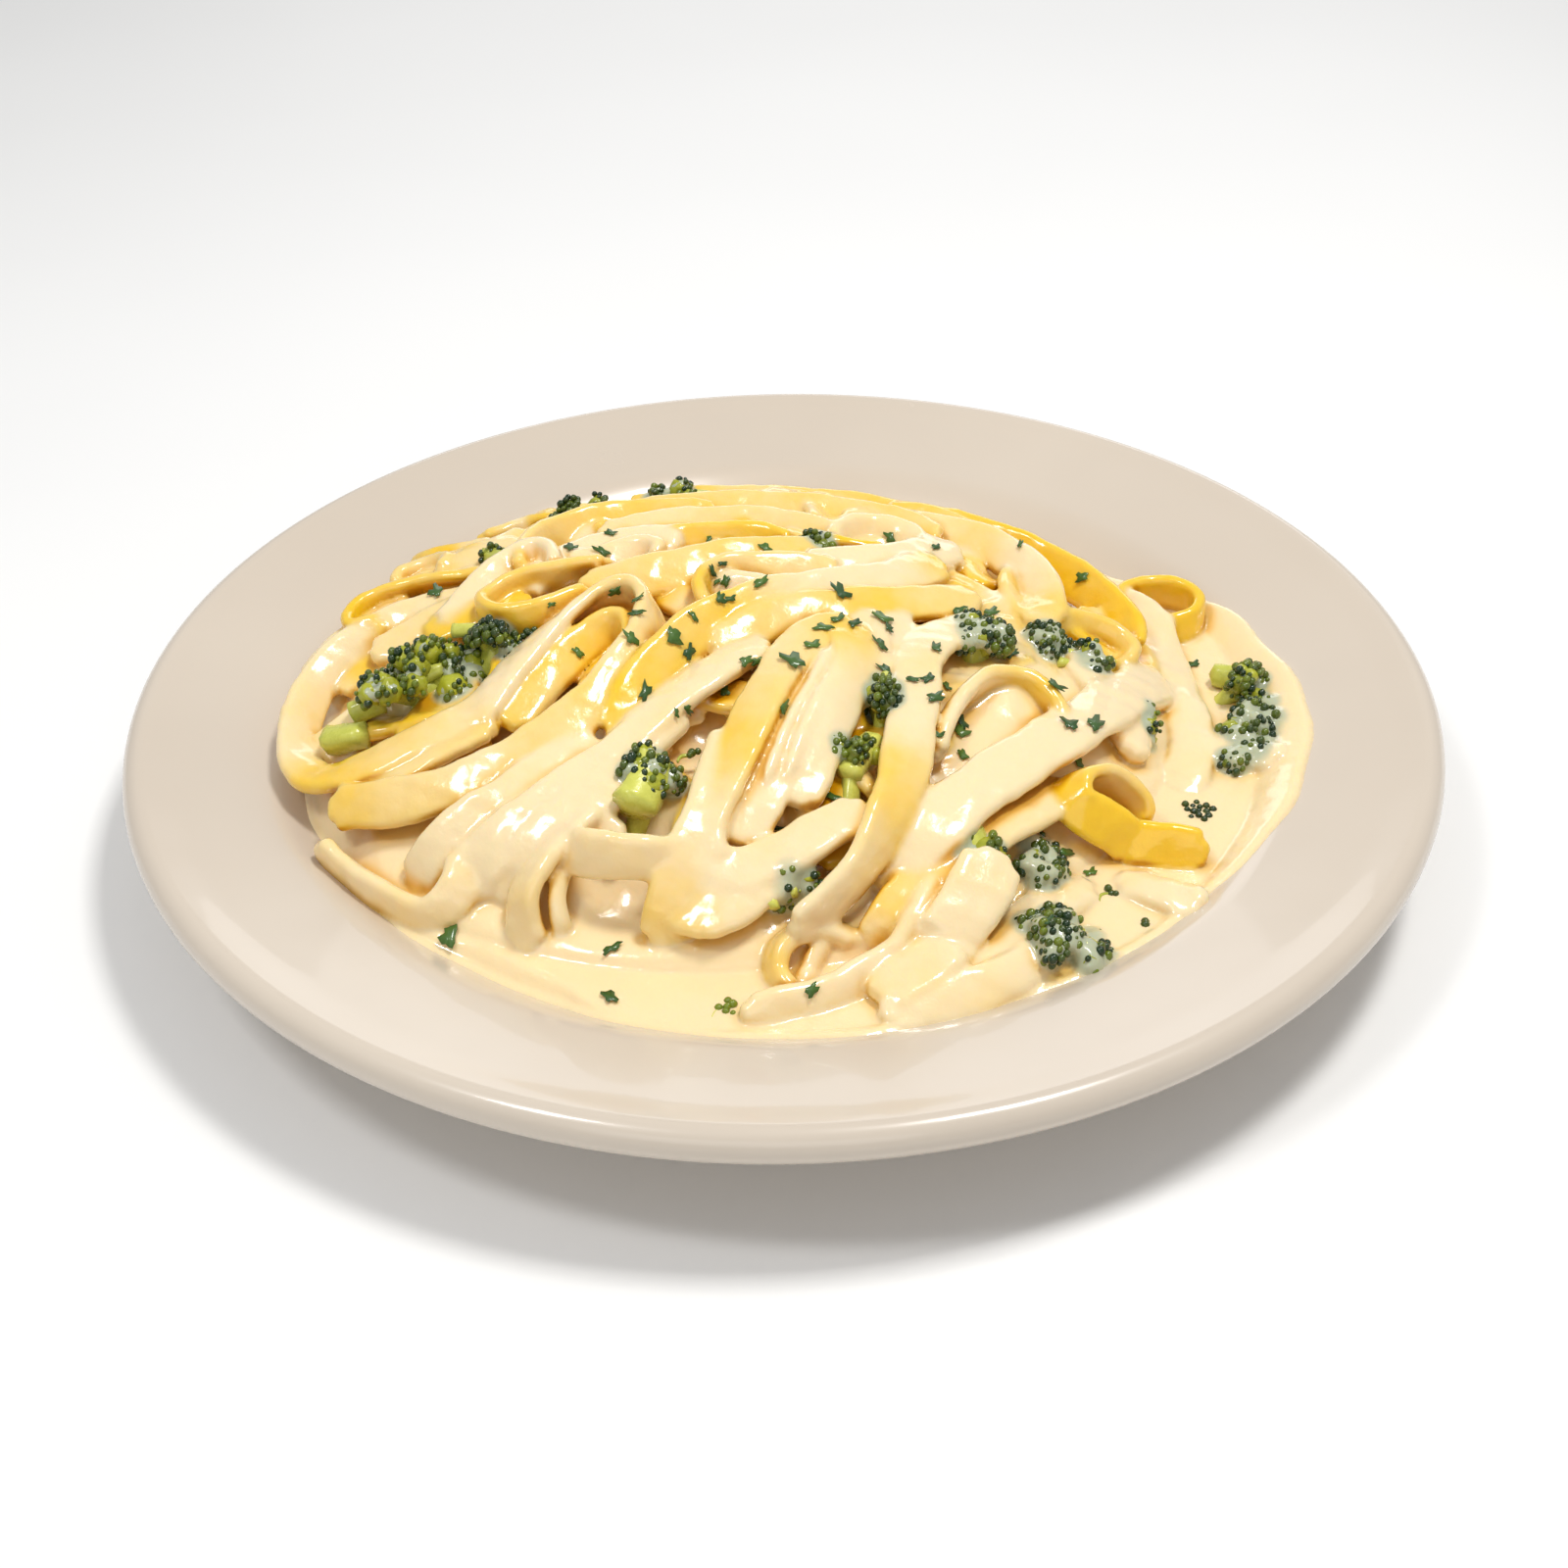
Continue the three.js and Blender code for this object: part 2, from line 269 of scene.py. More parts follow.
PLATE_RADIUS = 132.5
EDGE_RADIUS = 3.5
EDGE_CENTRE_Z = 24.5
FLOOR_Z = 7.0
FLOOR_RADIUS = 82.0
WELL_RADIUS = 105.0
WELL_DEPTH = 13.0
CHINA_THICKNESS = 4.8
RIM_START = 100.0
RIM_SLOPE = 0.2625
# From the foot ring's outer side to the middle of the underside, as (radius, height)
FOOT_PROFILE = [
    (81.2, 1.2), (80.2, 0.3), (79.4, 0.0), (74.6, 0.0), (74.0, 0.3), (72.0, 2.0), (70.5, 2.4), (0.0, 2.4),
]

SAUCE_LEVEL = 18.0
HEAP_CENTRE = (-12.0, 6.0)
HEAP_HALF_X = 94.0
HEAP_HALF_Y_FRONT = 88.0
HEAP_HALF_Y_BEHIND = 80.0
HEAP_HEIGHT = 24.0


def plate_top(r):
    """Height of the glazed upper surface at a radius."""
    r = np.asarray(r, dtype=float)
    out = r - RIM_START
    rim = np.where(out <= -4, 0.0, np.where(out >= 4, out, (out + 4) ** 2 / 16.0))
    bead = 0.35 * smoothstep(122.0, PLATE_RADIUS - EDGE_RADIUS, r)
    return FLOOR_Z + WELL_DEPTH * smoothstep(FLOOR_RADIUS, WELL_RADIUS, r) + RIM_SLOPE * rim + bead


def make_plate(material):
    inner_edge = PLATE_RADIUS - EDGE_RADIUS
    profile = [(r, float(plate_top(r))) for r in [0.0, 30.0, 60.0] + list(np.arange(78.0, inner_edge, 1.0))]
    for k in range(13):
        a = math.pi / 2 - math.pi * k / 12
        profile.append((inner_edge + EDGE_RADIUS * math.cos(a), EDGE_CENTRE_Z + EDGE_RADIUS * math.sin(a)))
    for r in np.arange(127.0, 84.0, -2.0):
        thinning = 0.6 * float(smoothstep(110, 127, r))
        profile.append((float(r), float(plate_top(r)) - CHINA_THICKNESS + thinning))
    profile += FOOT_PROFILE
    segments = 240
    points, faces = [], []
    rings = profile[1:-1]
    for r, z in rings:
        for s in range(segments):
            a = 2 * math.pi * s / segments
            points.append((r * math.cos(a), r * math.sin(a), z))
    for k in range(len(rings) - 1):
        for s in range(segments):
            n = (s + 1) % segments
            faces.append((k * segments + s, (k + 1) * segments + s, (k + 1) * segments + n, k * segments + n))
    top, bottom = len(points), len(points) + 1
    points += [(0, 0, profile[0][1]), (0, 0, profile[-1][1])]
    last = (len(rings) - 1) * segments
    for s in range(segments):
        n = (s + 1) % segments
        faces.append((top, s, n))
        faces.append((bottom, last + n, last + s))
    piece = add_piece("china_plate", points, faces, material)
    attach(piece, "root")
    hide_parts("plate")
    return piece


# ------------------------------------------------------------------ the mound


def mound_share(x, y):
    """0 at the middle of the mound, 1 along its foot."""
    half_y = np.where(y > HEAP_CENTRE[1], HEAP_HALF_Y_BEHIND, HEAP_HALF_Y_FRONT)
    return ((x - HEAP_CENTRE[0]) / HEAP_HALF_X) ** 2 + ((y - HEAP_CENTRE[1]) / half_y) ** 2


def dome(x, y):
    """The mound's general surface, level with the sauce outside it."""
    return SAUCE_LEVEL + HEAP_HEIGHT * np.clip(1.0 - mound_share(x, y), 0.0, 1.0) ** 0.75


def dome_normal(x, y):
    e = 1.5
    gx = (dome(x + e, y) - dome(x - e, y)) / (2 * e)
    gy = (dome(x, y + e) - dome(x, y - e)) / (2 * e)
    n = np.stack([-gx, -gy, np.ones_like(gx)], -1)
    return n / np.linalg.norm(n, axis=-1, keepdims=True)


# Each ribbon: its width, how thickly sauced it is (0 bare, 1 creamy), and its route as
# (x, y, lift above the mound, roll in degrees[, sauce]). Positive roll raises the right edge of travel.
RIBBONS = [
    # loop round the large floret on the left
    (9, 0.75, [(-62, 18, 1.5, 0), (-72, 16.5, 2, 20), (-82, 14, 2.2, 45), (-90, 9, 2.4, 60),
        (-95.5, 1, 2.4, 65), (-97, -10, 2.4, 65), (-95.5, -21, 2.4, 55), (-90, -29.5, 2.6, 30, 0.2),
        (-81, -31.5, 3, 10, 0.3), (-70, -29, 3, 0, 0.5), (-60, -25, 2, 0, 0.7), (-51, -18, 1, 0)]),
    (8, 0.8, [(-99, 9, 1.5, 20), (-95, 16, 2.2, 25), (-88, 21, 2, 10), (-80, 23, 1, 0)]),
    # long front-left ribbon, over the top and back down
    (9.5, 0.6, [(-85, -39, 3, -20, 0.3), (-71, -42.5, 3, -22, 0.45), (-57, -41.5, 3.2, -22, 0.65),
        (-46, -36, 3.5, -24, 0.5), (-37, -28, 4, -28, 0.5), (-31, -19, 4.5, -38, 0.7), (-27, -9, 5, -52),
        (-26, 1, 5, -70), (-30, 8, 5, -80), (-37, 7, 4.5, -60), (-44, 0, 4, -40, 0.9),
        (-50, -9, 3.5, -25, 0.9), (-55, -18, 3, -15, 0.9), (-60, -27, 2, -10)]),
    (8, 0.35, [(-52, -29, 1, -20), (-46, -19, 1.5, -30), (-40, -9, 2, -45), (-34, -3, 2.5, -70),
        (-30, -6, 2.5, -90), (-32, -14, 2, -60), (-38, -22, 1, -30)]),
    (8.5, 0.5, [(-56, -29, 1.5, -15), (-66, -33, 2, -15), (-75, -37, 2, -15), (-83, -41, 1.5, -10)]),
    (7.5, 0.7, [(-87, -46, 2.5, -50), (-82, -52, 2, -50), (-76, -58, 1.5, -50), (-70, -63, 1, -50),
        (-64, -66, 1, -40), (-59, -63, 1.5, -30), (-58, -57, 2, -20)]),
    (9.5, 0.85, [(-68, -60, -0.8, -10), (-64, -55.5, 1.8, -20), (-57.5, -51, 2.8, -25), (-50, -47, 3, -25),
        (-43, -42.5, 2.6, -20), (-36, -37, 2, -10)]),
    (10, 0.95, [(-57, -65, -1, 0), (-55.5, -60, 1.6, -10), (-50.5, -55.5, 3, -16), (-44, -51, 3.6, -16),
        (-37, -46, 3.6, -12), (-29, -39.5, 3, -10), (-20, -30, 2, -10)]),
    (9, 0.9, [(-50, -67, -0.8, -10), (-46.5, -60.5, 2, -16), (-40.5, -55, 3.2, -16), (-34, -50, 3.2, -10),
        (-28, -46, 3, -10)]),
    (8.5, 0.85, [(-35, -52, 2.5, -30), (-40, -57, 3.4, -36), (-44.5, -62.5, 3.2, -40, 0.7),
        (-47, -68, 2.0, -36, 0.6), (-46.5, -75, -0.6, -10, 0.7)]),
    (3.2, 0.7, [(-39, -60, 2, -60), (-40.3, -65, 1.8, -60), (-40.8, -69.5, 1.2, -60),
        (-39.8, -75, -0.9, -50)]),
    # bridge in front
    (9, 0.75, [(-42, -55, 1, -10), (-38, -60, 3.5, -40), (-32, -61.5, 5, -50), (-26, -62.5, 5, -50),
        (-20, -63.5, 3.4, -45), (-15, -63, 1.4, -30)]),
    # centre hairpin
    (9.5, 0.85, [(14, -53, 3.8, -10), (6, -58.5, 3.4, -10), (-1, -63, 2.8, -10), (-8, -66, 2.4, 0),
        (-14, -65, 2.6, 15), (-15, -59, 3.2, 20), (-12, -50, 3.8, 22, 0.6), (-8, -40, 4.2, 20, 0.25),
        (-5, -31, 4.6, 18, 0.25), (-1, -21, 5, 12, 0.5), (4, -11.5, 5, 0, 0.6), (9, -6.5, 5, -10, 0.4),
        (13, -8, 5, 10, 0.4), (14, -15, 4.6, 20, 0.6), (11.5, -25, 4.2, 24), (8, -35, 3.8, 20),
        (5, -44, 3, 10), (2, -52, 2, 0)]),
    (10, 0.8, [(-9, -37, 2, 20), (-11.5, -48, 3, 20), (-15, -58.5, 3.6, 22), (-18.5, -66.5, 3, 20, 0.6),
        (-20.5, -72.5, 1.4, 14, 0.45), (-21.5, -77.5, -0.8, 8, 0.5)]),
    (10.5, 0.75, [(-20, -72, 0.4, 0, 0.5), (-14.5, -73, 1.6, 0, 0.55), (-9, -71, 2.0, 0), (-3, -67, 1.8, 0),
        (2, -63, 1, 0)]),
    # twisting ribbon right of the centre florets
    (10, 0.8, [(38, 0, 2.5, 0), (31, -5, 3, -10), (27, -13, 3.5, -10), (25.5, -22, 4, -8),
        (24, -32, 4.5, 0), (22, -43, 5, 14, 0.45), (19, -53, 5, 34, 0.45), (14.5, -62.5, 4, 58, 0.6),
        (8.5, -70, 3, 66), (2, -76, 2, 60)]),
    # broad sauced ribbons down the right front
    (12, 1.0, [(78, 2, 1, 0), (69, -9, 2, -5), (60, -20, 3, -10), (51, -30, 3.5, -10), (42, -39, 3.8, -8),
        (33, -48, 3.8, -8), (26, -56, 3.2, -5), (21, -62, 1.6, 0), (17, -67, -0.6, 0)]),
    (10.5, 0.7, [(54, -40, 0.6, -24), (45.5, -47.5, 1.6, -24), (37.5, -54, 1.8, -24), (30.5, -60, 2.0, -20),
        (24.6, -66, 2.0, -14, 0.5), (19.5, -72.5, 1.6, -6, 0.4), (16.5, -77, -0.4, 0, 0.6)]),
    (12, 0.9, [(37.5, -58.5, 5.4, 0), (34, -65.5, 5.2, -5), (29, -72.5, 4.6, -8),
        (23.5, -79.5, 3.6, -6, 0.7), (16, -87.5, 1.8, 0, 0.5)]),
    (10, 0.95, [(55, -60, -0.5, 0), (47, -66, 1.6, 0), (40, -73, 1.6, 0), (33, -80, 1.2, 0),
        (26, -87, 0.2, 0)]),
    (6.5, 0.75, [(-7, -92, 1.2, -60), (2, -89, 1.5, -60), (10, -85, 2, -60), (17, -79, 2.5, -60),
        (23, -72, 2.5, -50), (28, -65, 2, -30)]),
    (8, 0.8, [(17, -93, 0.8, -20), (25, -90.5, 1.2, -32), (33, -87, 1.5, -38), (41, -82, 1.2, -30),
        (48, -76, 0.5, -20)]),
    (6, 0.7, [(12, -77, -0.8, -40), (7, -75.5, 0.2, -55), (2, -76.3, 0.8, -60),
        (-1.6, -79.3, 0.9, -65, 0.4), (-2, -83.5, 0.7, -70, 0.35), (1, -88.5, -0.4, -70, 0.6)]),
    (3, 0.8, [(7.5, -77, 0.2, -40), (5, -79.5, 0.4, -55), (3.5, -83, 0.3, -60), (3, -87.5, -0.8, -50)]),
    # sauce webbed between the legs of the hairpin, with folds along it
    (12, 1.0, [(-9, -60, 1.2, 0), (-7, -55, 2, 5), (-4, -49, 2.4, 5), (-1, -40, 2.8, 8), (3, -29, 3.2, 8),
        (8, -18, 3.2, 5)]),
    (2.6, 1.0, [(-3, -47, 4, 5), (1, -35, 4.6, 8), (6, -22, 5, 5), (9, -14, 5, 0)]),
    (2.4, 1.0, [(1, -46, 4, 5), (4, -35, 4.6, 8), (8.5, -23, 5, 5)]),
    (8, 1.0, [(-40, -48, 1.6, -10), (-34, -56, 1.6, -20), (-30, -60, 1.0, -20)]),
    # bare curled ribbon on the right
    (9, 0.08, [(68, -41, 1.2, -60), (67, -37, 2.6, -80, 0.3), (61, -34.8, 3.4, -80, 0.4),
        (55, -37.5, 3.9, -65, 0.2), (54, -43, 3.9, -45, 0.05), (59.5, -45, 3.8, -38, 0),
        (66, -46.2, 3.6, -52, 0), (72, -47.8, 3.2, -62, 0), (78, -50, 2.4, -62, 0.1)]),
    # right edge
    (9.5, 0.85, [(72, 41.5, 3, -60, 0.3), (77, 36, 4, -40), (80.5, 29, 4, -15), (81.5, 19, 3, -10),
        (82.5, 8, 2.5, -5), (83, -3, 2.2, 0), (82.5, -13, 1.8, 0), (80.5, -23, 0.8, 0),
        (78, -31, -1.2, 0)]),
    (8, 0.05, [(74, 37, 3, 90), (77, 42.5, 4, 90), (83, 44.5, 4, 90), (89, 42.5, 4, 90), (92, 37, 3.5, 90),
        (90, 31, 3, 80), (85, 27, 2, 60)]),
    (9.5, 0.55, [(14, 45, 2, -20), (26, 48.5, 3, -30), (37, 48.5, 4, -45), (46, 43.5, 4.5, -60),
        (52, 35, 4.5, -60, 0.8), (55, 25, 4, -50, 0.7), (55, 15, 3, -30, 0.4), (52, 8, 2, -10)]),
    (9.5, 0.12, [(24, 55.5, 2, -40), (36, 57, 3, -60), (48, 53.5, 3.5, -80), (58, 47, 3.5, -85),
        (66, 38, 3.5, -85), (71, 27, 3.5, -80), (73, 17, 3, -70), (72, 10, 2, -50)]),
    (6.5, 0.4, [(56, 9, 1.5, -60), (62, 13, 2.5, -70), (69, 13, 3, -80), (72, 8, 2.5, -80),
        (70, 2, 1.5, -60)]),
    (7, 0.8, [(28, -39, 1, 60), (30.5, -31, 2, 70), (35, -22, 2.8, 80), (41, -15.5, 3, 85, 0.5),
        (48, -14.5, 3, 85, 0.35), (53, -20, 2.5, 80, 0.4), (55, -27, 1.5, 60)]),
    # crossing ribbons in the middle
    (10, 0.25, [(-31, -36, 1.5, -20), (-28, -27, 3, -30), (-24, -18, 4, -40), (-18, -9, 5, -45),
        (-11, -2, 5.5, -45), (-3, 3, 5.5, -40, 0.6), (6, 7, 5, -35, 0.8), (16, 11, 4.5, -30, 0.9),
        (25, 17, 4, -20, 0.9), (33, 25, 3.5, -10)]),
    (9, 0.5, [(-12, -13, 3, -30), (-5, -6, 4, -30), (3, -1, 4, -30), (12, 2, 4, -25, 0.3),
        (22, 5, 3.5, -20, 0.3), (31, 8, 3, -15, 0.5), (40, 12, 2.5, -10)]),
    (9.5, 0.85, [(-4, -12, 3, -15), (-10, -17, 3, -15), (-16, -23, 3, -15), (-22, -29, 3, -15),
        (-28, -36, 2.5, -15), (-33, -43, 2, -10)]),
    (8.5, 0.8, [(17, -1, 3, 0), (17.5, -10, 3.2, 0), (16.5, -18, 2.8, 0), (14, -27, 2, 0)]),
    (8, 0.9, [(24, 0, 2, 10), (22, -9, 2, 10), (21, -18, 1.5, 10)]),
    (10, 0.45, [(-40, 12, 2.5, -20), (-31, 14, 3, -30), (-22, 17, 3.5, -35), (-13, 20, 3.5, -35),
        (-3, 23, 3, -35), (8, 24, 2.5, -20)]),
    (8.5, 0.5, [(-14, 0, 2, -60), (-16, 8, 3, -80, 0.2), (-12, 14, 3.5, -70), (-3, 16.5, 3.5, -50),
        (5, 16.5, 3, -40), (11, 14, 2.5, -30)]),
    (7, 0.9, [(-13, 9, 2, -40), (-7, 9, 2.8, -60), (-1, 6.5, 2.5, -50), (4, 4, 2, -30)]),
    (8, 0.7, [(-44, 22, 2.5, -30), (-36, 25, 3, -40), (-30, 27, 3, -60), (-26, 25, 2.5, -80),
        (-27, 21, 2, -60)]),
    (9, 0.6, [(-38, 38, 3, -30), (-27, 41, 3.5, -40), (-16, 41.5, 3.5, -45), (-5, 41, 3.2, -45),
        (5, 38, 3, -45), (11, 33, 2.5, -45)]),
    (7, 0.2, [(-24, 32, 2.5, -60), (-14, 34, 3, -70), (-4, 33, 3, -70), (2, 28, 2.5, -70)]),
    (9.5, 0.4, [(-40, 48.5, 2, -30), (-28, 53, 3, -40), (-14, 54.5, 3.5, -45), (2, 54.5, 3.5, -45),
        (16, 52, 3.5, -45), (28, 47, 3.5, -40), (33, 40, 3, -40)]),
    (9, 0.3, [(-34, 60.5, 2, -40), (-18, 64, 3, -50), (0, 64, 3, -50), (18, 62, 3, -50), (32, 57, 3, -50),
        (44, 50, 2.5, -40)]),
    (8, 0.7, [(12, 30, 2, -50), (14, 38, 3, -70), (20, 41.5, 3.5, -70), (27, 39, 3.5, -60),
        (30, 32, 3, -40)]),
    (7, 0.02, [(8, 33, 2, 60), (12, 28, 2.5, 80), (17, 27, 2.5, 80), (22, 28, 2, 60)]),
    (10, 0.95, [(5, 19, 2.5, -20), (14, 20, 3.2, -25), (22, 23, 3.8, -25), (30, 29, 4, -20),
        (37, 36, 3.5, -10)]),
    # loops over the left shoulder
    (9, 0.3, [(-58, 28, 2, -20), (-68, 29.5, 2.5, -30), (-78, 30, 3, -50), (-86, 27, 3.5, -75),
        (-90, 21, 3.5, -85, 0.1), (-89, 15, 3, -80, 0.1), (-83, 12, 2, -50)]),
    (6.5, 0.5, [(-84, 36, 1.5, 80), (-83, 41.5, 2.5, 85), (-77, 43.5, 2.5, 90), (-72, 40, 2.5, 85),
        (-73, 35, 1.5, 70)]),
    (8, 0.6, [(-74, 36, 1.5, -20), (-66, 38, 2, -30), (-56, 40, 2, -30)]),
    (9.5, 0.85, [(-68, 7, 1.5, -20), (-64, 14, 2.5, -30), (-60, 21, 3.5, -45), (-56, 28, 4, -70),
        (-51, 30.5, 4, -85), (-48, 26, 3.5, -80), (-48, 20, 3, -60)]),
    (9.5, 0.35, [(-53, 22, 2.5, -70), (-54, 31, 3.5, -80), (-50, 41, 4, -80), (-43, 47, 4, -70),
        (-34, 49.5, 4, -60), (-24, 48.5, 3.5, -50), (-14, 47, 3, -40)]),
    (9, 0.9, [(-54, 15, 2, 0), (-49, 23, 2.8, -10), (-42, 29, 3.2, -20), (-33, 32, 3.2, -30),
        (-22, 31, 2.8, -30)]),
    (8.5, 0.3, [(-36, 21, 3, -60), (-46, 19.5, 3.5, -75), (-55, 16.5, 3.5, -85), (-60.5, 10, 3.5, -90),
        (-56, 4, 3.5, -85), (-47, 3.5, 3.2, -75), (-38, 7.5, 2.5, -60)]),
    (8, 0.2, [(-41, 10, 2, -30), (-33, 13, 2.5, -30), (-26, 16, 2.5, -30)]),
    (9, 0.15, [(-72, 6, 1.5, -10), (-62, 9, 2, -10), (-52, 10, 2, -10)]),
    (8, 0.6, [(-83, 3, 1.2, -20), (-75, 9, 1.5, -20), (-66, 13, 1.5, -20)]),
    # shapes under the sauce on the right
    (9, 1.0, [(84, -17, 1, 0), (92, -18, 1, 0), (99, -22, 0.6, 0)]),
    (9, 1.0, [(63, -59.5, -1, 0), (68, -61.5, 0.7, 5), (72, -64, 0.7, 5), (75.5, -67, -1, 0)]),
    (9, 1.0, [(60, -2, 1, 0), (66, -14, 1.2, 0), (70, -25, 1, 0)]),
]

# Where the sauce stands higher or lower among the noodles: x, y, radius, millimetres.
SAUCE_PATCHES = [
    (-21, -50, 7, 2.6), (2, -84, 6, 1.6), (-10, -77, 11, 2.4), (-78, -47, 12, 2.2), (22, -86, 10, 1.4),
    (45, -5, 20, 2.6), (40, -34, 15, 3.6), (60, 0, 16, 2.0), (70, -17, 14, 2.4), (60, -57, 16, 2.2),
    (20, -14, 9, 2.0), (3, -44, 8, 4.5), (5, -30, 6, 4.0), (-46, -58, 12, 3.0), (-60, -50, 9, 1.6),
    (-33, -47, 9, 1.8), (-70, -8, 12, 2.6), (-8, -73, 9, 1.4), (45, -21, 8, 3.0), (47, -63, 9, 2.6),
    (-17, -54, 6, 2.5), (-82, -4, 9, 2.0), (-27, -66, 7, -3.5), (9, -60, 4, -3.0), (-14, -33, 5, -3),
    (15, 30, 8, -3), (28, 7, 5, -2), (-30, -4, 7, -3), (-47, 11, 8, -2.5), (-55, 6, 6, -2),
    (62, 25, 10, -3), (84, 38, 8, -2), (0, 60, 30, -2), (-60, 40, 20, -1.5),
]


def smooth_path(controls, step):
    """Catmull-Rom curve through the controls, sampled about every step millimetres."""
    c = np.asarray(controls, dtype=float)
    c = np.vstack([2 * c[0] - c[1], c, 2 * c[-1] - c[-2]])
    out = []
    for i in range(1, len(c) - 2):
        p0, p1, p2, p3 = c[i - 1 : i + 3]
        count = max(2, int(math.ceil(np.linalg.norm((p2 - p1)[:3]) / step)))
        t = np.linspace(0, 1, count, endpoint=False)[:, None]
        square = 2 * p0 - 5 * p1 + 4 * p2 - p3
        cube = 3 * p1 - p0 - 3 * p2 + p3
        out.append(0.5 * (2 * p1 + (p2 - p0) * t + square * t**2 + cube * t**3))
    out.append(c[-2][None])
    return np.vstack(out)


CREAMY = 0.57  # ribbons sauced more thickly than this on the whole make the second piece of noodles
VIEW_SLANT = 1.4  # a raised stretch leans this far towards the diner for each millimetre up


def lay_ribbon(width, sauce, route, step=2.0):
    """Centres, across and face directions, half widths and sauce along a ribbon laid on the mound."""
    full = [tuple(p) if len(p) == 5 else (*p, sauce) for p in route]
    xy = smooth_path([(p[0], p[1], 0, p[2], p[3], p[4]) for p in full], step)
    x, y, lift, roll, cover = xy[:, 0], xy[:, 1], xy[:, 3], np.radians(xy[:, 4]), xy[:, 5]
    normal = dome_normal(x, y)
    centre = np.stack([x, y - VIEW_SLANT * lift, dome(x, y) + lift], -1)
    china = plate_top(np.hypot(centre[:, 0], centre[:, 1]))
    centre[:, 2] = np.maximum(centre[:, 2], china + 1.0)
    along = np.gradient(centre, axis=0)
    along /= np.linalg.norm(along, axis=1, keepdims=True)
    side = np.cross(along, normal)
    side /= np.linalg.norm(side, axis=1, keepdims=True)
    up = np.cross(side, along)
    c, s = np.cos(roll)[:, None], np.sin(roll)[:, None]
    across = c * side + s * up
    face = c * up - s * side
    run = np.concatenate([[0], np.cumsum(np.linalg.norm(np.diff(centre, axis=0), axis=1))])
    end = np.clip(np.minimum(run, run[-1] - run) / 2.2, 0, 1)
    half = width / 2.0 * (0.55 + 0.45 * np.sqrt(1 - (1 - end) ** 2)) * (1 + 0.04 * np.sin(run * 0.35 + width))
    return centre, across, face, half, cover


